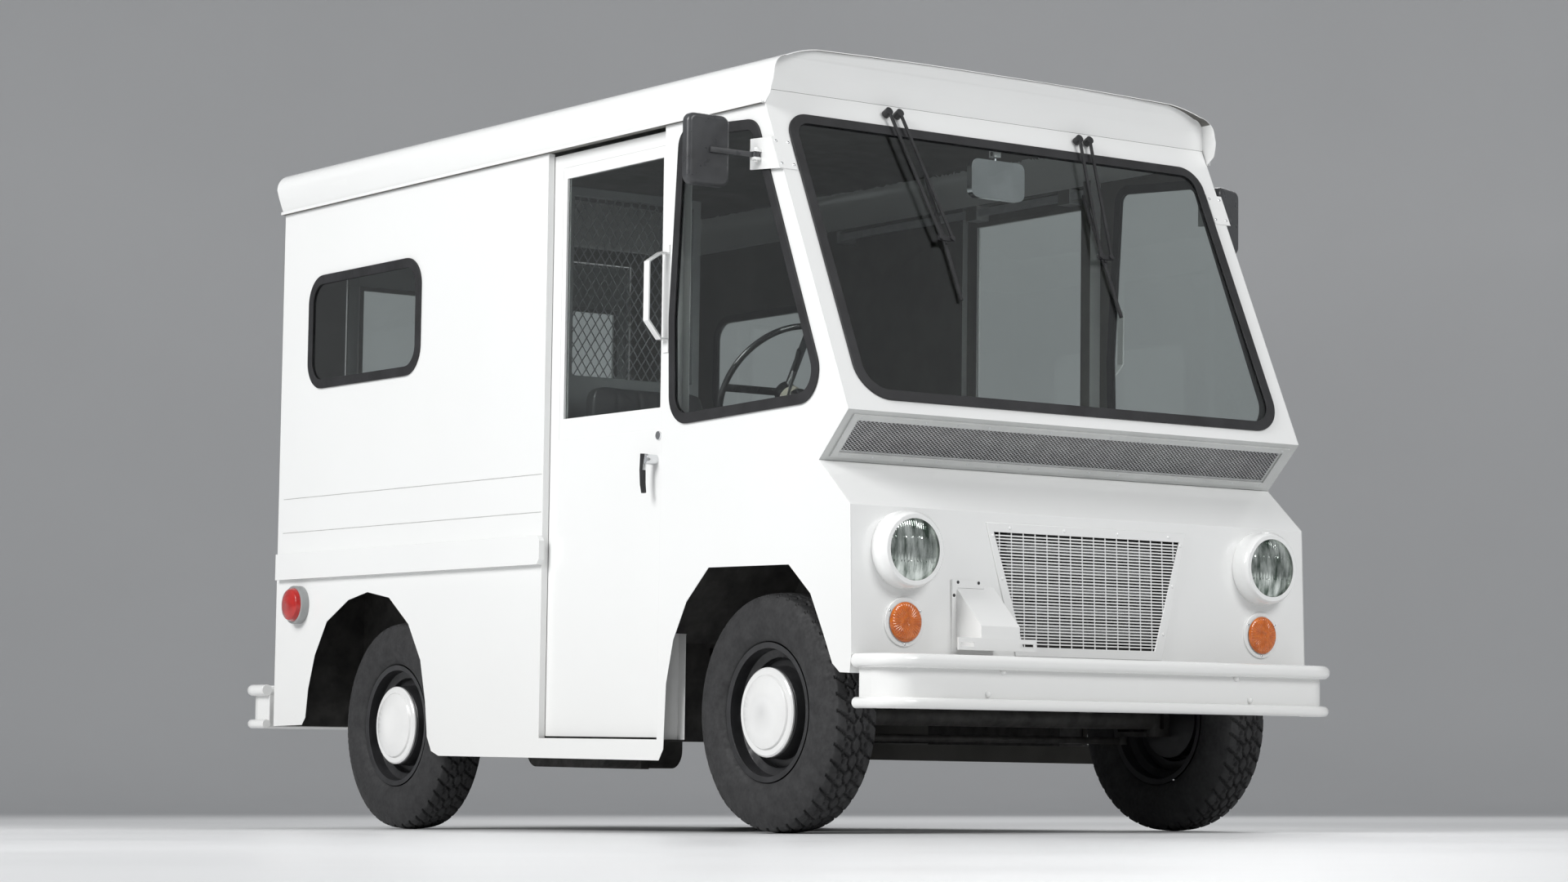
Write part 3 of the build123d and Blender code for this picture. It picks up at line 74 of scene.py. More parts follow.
def finish(name, light, dark, cloud, rough, grain, bump, metallic=0.0, sockets=()):
    """Colour drifts from light to dark with a cloud noise, roughness with another, over a fine grain."""
    material = bpy.data.materials.new(name)
    material.use_nodes = True
    nodes, links = material.node_tree.nodes, material.node_tree.links
    shader = nodes["Principled BSDF"]
    place = nodes.new("ShaderNodeTexCoord")
    drift = nodes.new("ShaderNodeTexNoise")
    drift.inputs["Scale"].default_value = cloud
    drift.inputs["Detail"].default_value = 8.0
    tint = nodes.new("ShaderNodeValToRGB")
    tint.color_ramp.elements[0].position, tint.color_ramp.elements[1].position = 0.35, 0.65
    tint.color_ramp.elements[0].color = (*dark, 1)
    tint.color_ramp.elements[1].color = (*light, 1)
    smear = nodes.new("ShaderNodeTexNoise")
    smear.inputs["Scale"].default_value = cloud * 3.1
    smear.inputs["Detail"].default_value = 5.0
    gloss = nodes.new("ShaderNodeMapRange")
    gloss.inputs["From Min"].default_value, gloss.inputs["From Max"].default_value = 0.3, 0.7
    gloss.inputs["To Min"].default_value, gloss.inputs["To Max"].default_value = rough
    fine = nodes.new("ShaderNodeTexNoise")
    fine.inputs["Scale"].default_value = grain
    fine.inputs["Detail"].default_value = 3.0
    relief = nodes.new("ShaderNodeBump")
    relief.inputs["Strength"].default_value = bump
    relief.inputs["Distance"].default_value = 0.0006
    for noise in (drift, smear, fine):
        links.new(place.outputs["Object"], noise.inputs["Vector"])
    links.new(drift.outputs["Fac"], tint.inputs["Fac"])
    links.new(tint.outputs["Color"], shader.inputs["Base Color"])
    links.new(smear.outputs["Fac"], gloss.inputs["Value"])
    links.new(gloss.outputs["Result"], shader.inputs["Roughness"])
    links.new(fine.outputs["Fac"], relief.inputs["Height"])
    links.new(relief.outputs["Normal"], shader.inputs["Normal"])
    shader.inputs["Metallic"].default_value = metallic
    for socket, value in dict(sockets).items():
        shader.inputs[socket].default_value = value
    return material


flat, bend = 20.0, 6.0                  # metres of level floor, and radius of the sweep up to the wall
turn, arc = np.linspace(0, 2 * np.pi, 96, endpoint=False)[None, :], np.linspace(0.15, 1.57, 12)
run = np.concatenate([np.linspace(0.0, flat, 12), flat + bend * np.sin(arc), [26.0, 26.0]])[:, None]
rise = np.concatenate([np.zeros(12), bend - bend * np.cos(arc), [9.0, 14.0]])[:, None]
sweep = np.stack([run * np.cos(turn), run * np.sin(turn), rise + 0 * turn], -1)
cove = linked("studio_cove", grid_mesh("studio_cove", sweep, wrap_columns=True))
cove.data.materials.append(finish("studio_pale", (0.74, 0.745, 0.75), (0.71, 0.715, 0.72), 0.25, (0.32, 0.45),
                                  40.0, 0.02))
cove.data.shade_smooth()

for label, at, aim, size, watts in (("key", (-10.5, -1.5, 7.0), (0, 0, 1.0), 6.0, 1150),
                                    ("front", (0.8, -10.5, 7.2), (0, 0, 1.0), 5.0, 520),
                                    ("back", (7.0, 6.0, 7.5), (0, 0, 1.2), 5.0, 300)):
    lamp = bpy.data.lights.new(label, "AREA")
    lamp.shape, lamp.size, lamp.energy = "DISK", size, watts
    holder = linked(label, lamp)
    holder.location = at
    away = np.subtract(at, aim)
    holder.rotation_euler = (math.acos(away[2] / np.linalg.norm(away)), 0,
                             math.atan2(away[1], away[0]) + math.pi / 2)
world = bpy.data.worlds.new("studio_fill")
world.use_nodes = True
world.node_tree.nodes["Background"].inputs["Color"].default_value = (0.95, 0.97, 1.0, 1)
world.node_tree.nodes["Background"].inputs["Strength"].default_value = 0.32
bpy.context.scene.world = world
bpy.context.scene.view_settings.view_transform = "Standard"

lens = bpy.data.cameras.new("camera")
lens.lens, lens.sensor_width = 81.6, 36.0
camera = linked("camera", lens)
camera.location = (-6.8846, -9.7073, 0.0894)
pitch_up, turned = 5.81, 36.02
camera.rotation_euler = (math.radians(90 + pitch_up), 0, math.radians(-turned))
bpy.context.scene.camera = camera


# ---------------------------------------------------------------- painted shell
# Pressed steel sides, roof, nose and rear frame, welded up and sprayed gloss white outside and grey inside,
# darkened below the paint's own tone as painted shade. The white has a little orange peel and road film low down.
rake, axle_height, shift = math.radians(1.225), 0.3507, 1.2948


def on_van(points):
    """Places drawn on the level van, in mm from the front axle and the ground, tipped nose-down by the
    rake about that axle and moved so that the bumpers' middle is at the origin."""
    p = np.asarray(points, dtype=float) / 1000
    y, z = p[..., 1], p[..., 2] - axle_height
    return np.stack([p[..., 0], y * math.cos(rake) - z * math.sin(rake) - shift,
                     axle_height + y * math.sin(rake) + z * math.cos(rake)], -1)


def on_level(points):
    """The same the other way: a place on the finished truck back on the level van, in mm."""
    y, z = points[..., 1] + shift, points[..., 2] - axle_height
    return 1000 * np.stack([points[..., 0], y * math.cos(rake) + z * math.sin(rake),
                            axle_height + z * math.cos(rake) - y * math.sin(rake)], -1)


def body_of(node):
    """The body that the record lists the node under."""
    bodies = frame["record"]["behaviour"]["bodies"]
    return next(body for body, nodes in bodies.items() if node in nodes)


def shells(mesh):
    """Lowest vertex number of the loose shell each vertex is in, handed along edges until it settles."""
    ends = np.empty(len(mesh.edges) * 2, dtype=np.int32)
    mesh.edges.foreach_get("vertices", ends)
    a, b = ends.reshape(-1, 2).T
    label = np.arange(len(mesh.vertices))
    while True:
        low = np.minimum(label[a], label[b])
        lower = label.copy()
        np.minimum.at(lower, a, low)
        np.minimum.at(lower, b, low)
        lower = lower[lower]
        if np.array_equal(lower, label):
            return label
        label = lower


def dressed(node, materials, choose=None, soften=0.0012, drop=None):
    """A merged copy of a CAD node: flat faces whole, edges eased, each face in the finish chosen for it,
    without the triangles that drop picks out because a finer piece stands in their place."""
    work = bmesh.new()
    work.from_mesh(frame["nodes"][node].data)
    if drop:
        work.faces.ensure_lookup_table()
        middles = on_level(np.array([face.calc_center_median() for face in work.faces]))
        spare = [work.faces[k] for k in np.flatnonzero(drop(middles))]
        bmesh.ops.delete(work, geom=spare, context="FACES")
    bmesh.ops.remove_doubles(work, verts=work.verts, dist=2e-5)
    bmesh.ops.dissolve_limit(work, angle_limit=math.radians(0.4), verts=work.verts, edges=work.edges)
    mesh = bpy.data.meshes.new(node + "_look")
    work.to_mesh(mesh)
    work.free()
    for material in materials:
        mesh.materials.append(material)
    if choose:
        count = len(mesh.polygons)
        centre, normal = np.empty(count * 3), np.empty(count * 3)
        mesh.polygons.foreach_get("center", centre)
        mesh.polygons.foreach_get("normal", normal)
        spot = np.empty(len(mesh.vertices) * 3)
        mesh.vertices.foreach_get("co", spot)
        spot, label = spot.reshape(-1, 3), shells(mesh)
        low, high = np.full(spot.shape, np.inf), np.full(spot.shape, -np.inf)
        np.minimum.at(low, label, spot)
        np.maximum.at(high, label, spot)
        first = np.empty(count, dtype=np.int32)
        mesh.polygons.foreach_get("loop_start", first)
        corner = np.empty(len(mesh.loops), dtype=np.int32)
        mesh.loops.foreach_get("vertex_index", corner)
        home = label[corner[first]]
        pick = choose(on_level(centre.reshape(-1, 3)), normal.reshape(-1, 3), low[home], high[home])
        mesh.polygons.foreach_set("material_index", pick.astype(np.int32))
    mesh.shade_smooth()
    mesh.set_sharp_from_angle(angle=math.radians(28))
    piece = linked(node + "_look", mesh)
    if soften:
        ease = piece.modifiers.new("eased_edges", "BEVEL")
        ease.width, ease.segments, ease.limit_method = soften, 2, "ANGLE"
        ease.angle_limit, ease.harden_normals = math.radians(35), True
    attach(piece, body_of(node))
    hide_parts(node)
    return piece


white = finish("gloss_white_paint", (0.885, 0.89, 0.88), (0.868, 0.873, 0.863), 1.1, (0.21, 0.25), 260.0, 0.02,
               sockets={"Coat Weight": 0.5, "Coat Roughness": 0.06})
film = white.node_tree.nodes.new("ShaderNodeMix")
film.data_type = "RGBA"
film.inputs[7].default_value = (0.60, 0.575, 0.53, 1)
height = white.node_tree.nodes.new("ShaderNodeSeparateXYZ")
fade = white.node_tree.nodes.new("ShaderNodeMapRange")
fade.inputs["From Min"].default_value, fade.inputs["From Max"].default_value = 0.85, 0.15
fade.inputs["To Min"].default_value, fade.inputs["To Max"].default_value = 0.0, 0.16
shader = white.node_tree.nodes["Principled BSDF"]
place = white.node_tree.nodes["Texture Coordinate"]
join = white.node_tree.links
join.new(place.outputs["Object"], height.inputs["Vector"])
join.new(height.outputs["Z"], fade.inputs["Value"])
join.new(fade.outputs["Result"], film.inputs[0])
join.new(white.node_tree.nodes["Color Ramp"].outputs["Color"], film.inputs[6])
join.new(film.outputs[2], shader.inputs["Base Color"])
# The inside grey is darker than the paint itself: painted shade for the dim cab and hold.
lining = finish("grey_lining_painted_shade", (0.17, 0.165, 0.15), (0.12, 0.117, 0.106), 4.0, (0.50, 0.70), 150.0, 0.10)
underside = finish("dusty_black_steel", (0.050, 0.048, 0.045), (0.022, 0.021, 0.020), 16.0, (0.50, 0.80), 200.0,
                   0.25)


def side_finish(centre, normal, low, high):
    """White outside; inward faces are lining above the floor and dusty steel below it."""
    hidden = (normal[:, 0] * np.sign(centre[:, 0]) < -0.6) & (np.abs(centre[:, 0]) < 876.5)
    return np.where(hidden, np.where(centre[:, 2] < 800, 2, 1), 0)


def floor_finish(centre, normal, low, high):
    """Grey on top and on the outer walls of the hold, dusty steel on everything that faces the road."""
    shown = (normal[:, 2] > 0.4) | ((normal[:, 0] * np.sign(centre[:, 0]) < -0.5) & (centre[:, 1] > 1300))
    return np.where(shown, 0, 1)


dressed("body_sides", (white, lining, underside), side_finish)
dressed("roof_cap", (white, lining), lambda c, n, low, high: (n[:, 2] < -0.6) & (np.abs(c[:, 0]) < 870))
dressed("nose_panel", (white, lining), lambda c, n, low, high: (n[:, 1] > 0.6) * 1)
dressed("windshield_surround", (white, lining), lambda c, n, low, high: (n[:, 1] > 0.5) * 1)
dressed("rear_end_panel", (white, lining), lambda c, n, low, high: (n[:, 1] < -0.9) * 1)
dressed("grab_handles", (white,))
dressed("front_housing", (white,))
dressed("mirror_brackets", (white,))
dressed("bumpers", (white,), soften=0.002)

# ---------------------------------------------------------------- floor, dash and tracks
# Cargo floor, wheel boxes and steps folded from sheet and painted grey, worn to a dull shine where
# feet and sacks drag; dash of the same sheet; galvanised tracks for the sliding doors.
floor_grey = finish("worn_floor_grey", (0.27, 0.27, 0.26), (0.17, 0.17, 0.165), 5.0, (0.35, 0.75), 120.0, 0.25,
                    metallic=0.15)
zinc = finish("galvanised_track", (0.66, 0.67, 0.68), (0.54, 0.55, 0.56), 22.0, (0.35, 0.55), 300.0, 0.10,
              metallic=0.55)
dressed("floor_pan", (floor_grey, underside), floor_finish)
# The dash takes the same darkened grey, painted shade.
dressed("dash_panel", (lining,))
dressed("door_tracks", (zinc,))

# ---------------------------------------------------------------- glazing
# Flat toughened panes held in black extruded rubber with a softly rounded, slightly dusty lip.
glass = finish("window_pane", (0.82, 0.86, 0.85), (0.79, 0.83, 0.82), 1.5, (0.0, 0.03), 90.0, 0.0,
               sockets={"Transmission Weight": 1.0, "IOR": 1.46})
rubber = finish("window_rubber", (0.022, 0.022, 0.024), (0.012, 0.012, 0.013), 9.0, (0.45, 0.62), 420.0, 0.18)
dressed("window_glass", (glass,), soften=0.0)
dressed("window_seals", (rubber,), soften=0.003)

# ---------------------------------------------------------------- doors
# Two sliding cab doors and a pair of hinged rear doors, each a pressed white pan with a pane of its
# own; steel lock barrels and turning handles with a black blade.
chrome = finish("bright_chrome", (0.78, 0.79, 0.80), (0.70, 0.71, 0.72), 12.0, (0.06, 0.16), 300.0, 0.03,
                metallic=1.0)
black = finish("satin_black_enamel", (0.030, 0.030, 0.032), (0.018, 0.018, 0.019), 14.0, (0.30, 0.48), 350.0, 0.10)


def cab_door_finish(centre, normal, low, high):
    """Glass where the pane's two faces stand, chrome on the lock barrel, lining on inward faces."""
    out = np.abs(centre[:, 0])
    pane = (out > 836.5) & (out < 842.5)
    pane &= (np.abs(normal[:, 0]) > 0.9) & (centre[:, 2] > 1260)
    hung = (normal[:, 0] * np.sign(centre[:, 0]) < -0.6) & ~pane
    barrel = np.hypot(centre[:, 1] - 551, centre[:, 2] - 1192) < 13.2
    return np.where(pane, 1, np.where(barrel & (out > 851), 3, np.where(hung, 2, 0)))


def rear_door_finish(centre, normal, low, high):
    """Glass where the pane's two faces stand, lining on faces towards the hold."""
    field = (np.abs(centre[:, 2] - 1688) < 205) & (np.abs(np.abs(centre[:, 0]) - 313) < 250)
    pane = field & (np.abs(normal[:, 1]) > 0.9) & (centre[:, 1] > 2949) & (centre[:, 1] < 2964)
    return np.where(pane, 1, np.where(normal[:, 1] < -0.9, 2, 0))


for side in ("right", "left"):
    dressed("sliding_door_" + side, (white, glass, lining, chrome), cab_door_finish)
    dressed("rear_door_" + side, (white, glass, lining), rear_door_finish)
    dressed("door_handle_" + side, (chrome, black),
            lambda c, n, low, high: (np.abs(c[:, 0]) > np.abs(c[:, 0]).max() - 13.5) & (c[:, 2] < 1100))
dressed("rear_door_handle", (chrome,))

# ---------------------------------------------------------------- wheels
# Pressed steel wheels in black enamel with white domed hub caps, and bias-ply tyres with a
# block tread cut by zigzag grooves, a serrated shoulder and ringed sidewalls.
tyre_rubber = finish("tyre_rubber", (0.030, 0.030, 0.031), (0.017, 0.017, 0.018), 26.0, (0.62, 0.85), 500.0, 0.30)
hub_white = finish("hub_cap_white", (0.82, 0.82, 0.81), (0.78, 0.78, 0.77), 8.0, (0.12, 0.22), 200.0, 0.02,
                   sockets={"Coat Weight": 0.6, "Coat Roughness": 0.05})


def smooth_path(knots, per_span):
    """Catmull-Rom curve through the knots: each span is the usual cubic of its four nearest knots."""
    k = np.vstack([2 * knots[0] - knots[1], knots, 2 * knots[-1] - knots[-2]])
    t = np.linspace(0, 1, per_span, endpoint=False)[None, :, None]
    a, b, c, d = (k[n:len(k) - 3 + n][:, None, :] for n in range(4))
    curve = 0.5 * (2 * b + (c - a) * t + (2 * a - 5 * b + 4 * c - d) * t ** 2 + (3 * b - a - 3 * c + d) * t ** 3)
    return np.vstack([curve.reshape(-1, knots.shape[1]), knots[-1:]])


def tyre_mesh(name, centre, radius, half):
    """The section is carried round the axle; grooves lower the tread where a zigzag or a cross cut passes,
    and rings and teeth lift the sidewall."""
    wall = np.array([[-0.060, 0.203], [-0.074, 0.210], [-0.0855, 0.232], [-0.0895, 0.262], [-0.087, 0.292],
                     [-0.080, 0.316], [-0.0705, 0.335], [-0.064, 0.3420]])
    knots = np.vstack([wall, [[-0.045, 0.3470], [-0.015, 0.3500], [0.0, 0.3504]]])
    knots = np.vstack([knots, knots[-2::-1] * [-1, 1]])
    knots[:, 0] *= half / 0.09
    knots[:, 1] *= radius / 0.3507
    path = smooth_path(knots, 5)
    across, out = path[:, 0][None, :], path[:, 1][None, :]
    around = np.linspace(0, 2 * np.pi, 528, endpoint=False)[:, None]
    pitch = around * 44 / (2 * np.pi)
    zig = 0.0045 * (np.abs((pitch * 2) % 2 - 1) * 2 - 1)

    def cut(distance, width):
        """One inside the groove's half width and nothing outside, with a soft edge between."""
        return 1 / (1 + np.exp(np.clip((np.abs(distance) - width) * 3500, -40, 40)))

    long_cuts = sum(cut(across - middle - zig * turn_way, 0.0023)
                    for middle, turn_way in ((-0.037, 1), (-0.012, -1), (0.012, 1), (0.037, -1)))
    saw = (pitch + np.where(np.abs(across) > 0.012, 0.5, 0.0) + across * 14) % 1 - 0.5
    cross = cut(saw * 0.05, 0.0042) * (np.abs(across) > 0.002)
    tread = np.clip(long_cuts + cross, 0, 1) * (np.abs(across) < 0.0705) * (out > 0.330)
    deep = 0.0085 * tread
    teeth = 0.0012 * ((pitch * 2) % 1 < 0.5) * ((out > 0.318) & (out < 0.334))
    rings = 0.0014 * sum(np.exp(-((out - r) / 0.0022) ** 2) for r in (0.226, 0.252, 0.296, 0.310))
    r = out - deep
    x = across + np.sign(across) * (teeth + rings) * (np.abs(across) > 0.062) * 0.6
    x = np.clip(x, -half, half)
    ring = np.stack([centre[0] + x + 0 * around, centre[1] + r * np.sin(around),
                     centre[2] + r * np.cos(around)], -1)
    mesh = grid_mesh(name, ring, wrap_rows=True)
    work = bmesh.new()
    work.from_mesh(mesh)
    bmesh.ops.holes_fill(work, edges=[], sides=0)
    rims = [e for e in work.edges if e.is_boundary]
    bmesh.ops.bridge_loops(work, edges=rims)
    bmesh.ops.recalc_face_normals(work, faces=work.faces)
    work.to_mesh(mesh)
    work.free()
    mesh.shade_smooth()
    mesh.set_sharp_from_angle(angle=math.radians(38))
    return mesh


for axle in ("front", "rear"):
    for side in ("right", "left"):
        tag = axle + "_" + side
        low, high = (np.array(corner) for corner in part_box("tyre_" + tag))
        shape = tyre_mesh("tyre_look_" + tag, (low + high) / 2, (high[2] - low[2]) / 2,
                          (high[0] - low[0]) / 2)
        shape.materials.append(tyre_rubber)
        tyre = linked("tyre_look_" + tag, shape)
        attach(tyre, body_of("tyre_" + tag))
        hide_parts("tyre_" + tag)
        dressed("wheel_" + tag, (black, hub_white), lambda c, n, low, high: (high - low)[:, 2] < 0.30)

# ---------------------------------------------------------------- lamps
# Seven-inch sealed-beam lamps with fluted glass over a silvered bowl in deep white rims, amber turn
# lamps and small red side lamps with grey collars.
# The lamp glass runs from near white to near black in patches: painted reflections of the bowl through the flutes.
lamp_glass = finish("lamp_glass_painted_reflections", (0.86, 0.92, 0.87), (0.05, 0.085, 0.06), 14.0, (0.04, 0.10), 300.0, 0.02,
                    metallic=0.85, sockets={"Coat Weight": 1.0, "Coat Roughness": 0.02})
# The patches of painted reflection are drawn out along the lamp's width.
stretch = lamp_glass.node_tree.nodes.new("ShaderNodeMapping")
stretch.inputs["Scale"].default_value = (3.0, 1.0, 0.9)
wire = lamp_glass.node_tree.links
wire.new(lamp_glass.node_tree.nodes["Texture Coordinate"].outputs["Object"], stretch.inputs["Vector"])
wire.new(stretch.outputs["Vector"], lamp_glass.node_tree.nodes["Noise Texture"].inputs["Vector"])
amber = finish("amber_lens", (0.70, 0.17, 0.015), (0.52, 0.11, 0.010), 60.0, (0.10, 0.22), 700.0, 0.35,
               sockets={"Coat Weight": 0.8, "Subsurface Weight": 0.15})
red = finish("red_lens", (0.52, 0.02, 0.015), (0.40, 0.012, 0.01), 40.0, (0.12, 0.25), 700.0, 0.50,
             sockets={"Coat Weight": 0.8})
grey = finish("grey_enamel", (0.36, 0.37, 0.37), (0.30, 0.31, 0.31), 10.0, (0.30, 0.45), 300.0, 0.06)
head_lamp, turn_lamp = (692, 812.5), (691, 608)          # distance from the middle, and height


def lens_front(centre, lamp, reach, front):
    """The faces ahead of front that stand within reach of a lamp's axis, on either side."""
    off = np.hypot(np.abs(centre[:, 0]) - lamp[0], centre[:, 2] - lamp[1])
    return (off < reach) & (centre[:, 1] < front)


dressed("head_lamps", (white, lamp_glass), lambda c, n, low, high: (high - low)[:, 0] < 0.2,
        drop=lambda c: lens_front(c, head_lamp, 86.5, -505))
dressed("turn_signals", (white, amber), lambda c, n, low, high: (high - low)[:, 0] < 0.13,
        drop=lambda c: lens_front(c, turn_lamp, 57.6, -472.5))


def lens_cap(name, sign, centre, front, reach, rise, material):
    """Domed lens on polar rings round its centre: each point stands rise(radius, across, up, spoke) in
    front of the rim, where across and up are its distances from the centre."""
    spoke = np.linspace(0, 2 * np.pi, 192, endpoint=False)[None, :]
    radius = 0.4 + (reach - 0.4) * np.linspace(0.0, 1.0, 40)[:, None]
    across, up = radius * np.cos(spoke), radius * np.sin(spoke)
    grid = np.stack([sign * centre[0] + across, front - rise(radius, across, up, spoke), centre[1] + up], -1)
    shape = grid_mesh(name, on_van(grid), wrap_columns=True)
    facing = np.empty(len(shape.polygons) * 3)
    shape.polygons.foreach_get("normal", facing)
    if facing.reshape(-1, 3)[:, 1].mean() > 0:
        shape.flip_normals()
    shape.materials.append(material)
    shape.shade_smooth()
    cap = linked(name, shape)
    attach(cap, "van_body")


def fluted(radius, across, up, spoke):
    """Shallow dome with upright flutes, wider in the middle band, that fade out at the rim."""
    pitch = np.where(np.abs(up) < 34, 11.0, 8.0)
    fade = np.clip((86 - radius) / 5, 0, 1)
    return 13.0 * (1 - (radius / 92.5) ** 2.2) + 1.1 * fade * np.cos(2 * np.pi * across / pitch)


def spoked(radius, across, up, spoke):
    """Flat crown with a rounded rim, fine spokes outside and rings in the middle."""
    spokes = 0.7 * np.cos(36 * spoke) * np.clip((radius - 14) / 20, 0, 1) * (radius < 50)
    rings = 0.8 * np.cos(radius * 1.4) * (radius < 14)
    return 11.5 * np.sqrt(np.clip(1 - (radius / 58.0) ** 6, 0, 1)) + spokes + rings


for sign, side in ((-1, "right"), (1, "left")):
    lens_cap("head_lens_" + side, sign, head_lamp, -508.6, 92.0, fluted, lamp_glass)
    lens_cap("turn_lens_" + side, sign, turn_lamp, -471.5, 57.2, spoked, amber)
dressed("tail_lamps", (grey, red), lambda c, n, low, high: np.abs(low[:, 0] + high[:, 0]) > 1.815)

# ---------------------------------------------------------------- mirrors
# Two dark plastic mirror heads on white brackets outside, the left one folded back, and a chromed
# dipping mirror inside.
dark_plastic = finish("dark_mirror_shell", (0.055, 0.057, 0.060), (0.040, 0.041, 0.043), 12.0, (0.25, 0.40), 260.0,
                      0.08)
silver = finish("mirror_silver", (0.86, 0.87, 0.88), (0.82, 0.83, 0.84), 2.0, (0.01, 0.03), 60.0, 0.0,
                metallic=1.0)


def mirror_finish(centre, normal, low, high):
    """Silver on the faces that look straight back and stand beyond the rim, along the head's own axis
    from its pin; the left head is turned by its fold."""
    left = centre[:, 0] > 0
    fold = np.where(left, math.radians(22), 0.0)
    back = np.stack([-np.sin(fold), np.cos(fold)], -1)
    pin = np.stack([np.where(left, 905, -905), 0 * fold - 12], -1)
    off = ((centre[:, :2] - pin) * back).sum(-1)
    return ((normal[:, :2] * back).sum(-1) > 0.97) & (off > 38.6)


for side in ("right", "left"):
    dressed("mirror_head_" + side, (dark_plastic, silver), mirror_finish)
dressed("interior_mirror", (chrome,))

# ---------------------------------------------------------------- wipers
# Each wiper has an arm and a parallel link of black flat steel and a blade that stays upright.
for side in ("right", "left"):
    for kind in ("arm", "link", "blade"):
        dressed("wiper_%s_%s" % (kind, side), (black,), soften=0.0006)

# ---------------------------------------------------------------- driver's place
# Black moulded steering wheel on a cream column with a chromed shift lever, and hanging pedals with
# ribbed rubber pads; grey folded seat stand.
cream = finish("cream_enamel", (0.66, 0.62, 0.50), (0.60, 0.56, 0.45), 8.0, (0.22, 0.34), 260.0, 0.05)
bakelite = finish("black_moulding", (0.020, 0.020, 0.022), (0.014, 0.014, 0.015), 20.0, (0.12, 0.24), 200.0, 0.04,
                  sockets={"Coat Weight": 0.4})
dressed("steering_wheel", (bakelite,), soften=0.0)
dressed("steering_column", (cream, black),
        lambda c, n, low, high: (low[:, 2] > 0.90) & (high[:, 1] - low[:, 1] < 0.3))
dressed("gear_lever", (chrome, bakelite), lambda c, n, low, high: c[:, 2] > c[:, 2].max() - 75)
dressed("brake_pedal", (black,))
dressed("throttle_pedal", (black,))
dressed("seat_pedestal", (grey,))

# ---------------------------------------------------------------- running gear
# Black chassis rails, axles, springs and tank under a film of road dust, and a cast engine and
# gearbox. The plain radiator block ahead of them gives way to the finned one below.
iron = finish("cast_iron", (0.070, 0.068, 0.066), (0.040, 0.038, 0.036), 30.0, (0.55, 0.80), 140.0, 0.60,
              metallic=0.3)
for node in ("chassis_frame", "axles", "leaf_springs", "tie_rod", "steering_knuckle_right",
             "steering_knuckle_left", "fuel_tank"):
    dressed(node, (underside,))
radiator_back = -330
dressed("drive_line", (iron,), drop=lambda c: c[:, 1] < radiator_back)

# ---------------------------------------------------------------- grille and intake screen
# Grille of thin level and upright strips spot-welded in a flat riveted frame; air intake under the
# windshield behind an expanded-metal screen with a raised, riveted rim.
def fitted(name, mesh, body, material, stands_for=()):
    """The mesh as a piece on a body, in one finish, with its faces turned outwards."""
    work = bmesh.new()
    work.from_mesh(mesh)
    bmesh.ops.recalc_face_normals(work, faces=work.faces)
    work.to_mesh(mesh)
    work.free()
    mesh.materials.append(material)
    mesh.shade_smooth()
    mesh.set_sharp_from_angle(angle=math.radians(35))
    piece = linked(name, mesh)
    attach(piece, body)
    if stands_for:
        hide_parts(*stands_for)
    return piece


def strips(name, starts, ends, out, width, depth):
    """Straight strips: each start to end line is widened sideways and thickened along out."""
    starts, ends, out = np.asarray(starts, float), np.asarray(ends, float), np.asarray(out, float)
    side = np.cross(ends - starts, out)
    side *= 0.5 * width / np.linalg.norm(side, axis=1, keepdims=True)
    base = np.stack([starts - side, starts + side, ends + side, ends - side], 1)
    corners = np.concatenate([base, base + out * depth], 1).reshape(-1, 3)
    block = np.array([[0, 3, 2, 1], [4, 5, 6, 7], [0, 1, 5, 4], [1, 2, 6, 5], [2, 3, 7, 6], [3, 0, 4, 7]])
    quads = (np.arange(len(starts))[:, None, None] * 8 + block[None]).reshape(-1, 4)
    mesh = bpy.data.meshes.new(name)
    mesh.from_pydata(on_van(corners).tolist(), [], quads.tolist())
    mesh.update()
    return mesh


def studs(name, spots, out, radius, height, material, body="van_body"):
    """Low domed heads: a quarter-ellipse profile turned about out at every spot."""
    out = np.asarray(out, float) / np.linalg.norm(out)
    side = np.cross(out, [0.0, 0.6, 0.8] if abs(out[0]) > 0.5 else [1.0, 0.0, 0.0])
    side /= np.linalg.norm(side)
    lean, spin = np.linspace(0.0, np.pi / 2, 5), np.linspace(0, 2 * np.pi, 12, endpoint=False)
    r = np.append(radius * np.cos(lean[:-1]), 0.0)
    h = height * np.sin(lean)
    r, h = np.insert(r, 0, radius), np.insert(h, 0, -0.6)
    round_way = np.cos(spin)[None, :, None] * side + np.sin(spin)[None, :, None] * np.cross(out, side)
    ring = r[:, None, None] * round_way + h[:, None, None] * out
    heads = np.asarray(spots, float)[:, None, None, :] + ring[None]
    count, rows, columns = heads.shape[:3]
    i, j = np.arange(rows - 1)[:, None], np.arange(columns)[None, :]
    j1 = (j + 1) % columns
    quads = np.stack([i * columns + j, i * columns + j1, (i + 1) * columns + j1, (i + 1) * columns + j], -1)
    quads = (np.arange(count)[:, None, None] * rows * columns + quads.reshape(1, -1, 4)).reshape(-1, 4)
    mesh = bpy.data.meshes.new(name)
    mesh.from_pydata(on_van(heads.reshape(-1, 3)).tolist(), [], quads.tolist())
    work = bmesh.new()
    work.from_mesh(mesh)
    bmesh.ops.remove_doubles(work, verts=work.verts, dist=1e-6)
    bmesh.ops.holes_fill(work, edges=[e for e in work.edges if e.is_boundary], sides=0)
    work.to_mesh(mesh)
    work.free()
    return fitted(name, mesh, body, material)


def on_nose(x, z, rise):
    """Point on the flat nose, rise in front of it: the panel leans back as it goes up."""
    x, z = np.broadcast_arrays(np.asarray(x, float), np.asarray(z, float))
    return np.stack([x, -467 + (z - 517) * 12.2 / 418.6 - rise, z], -1)


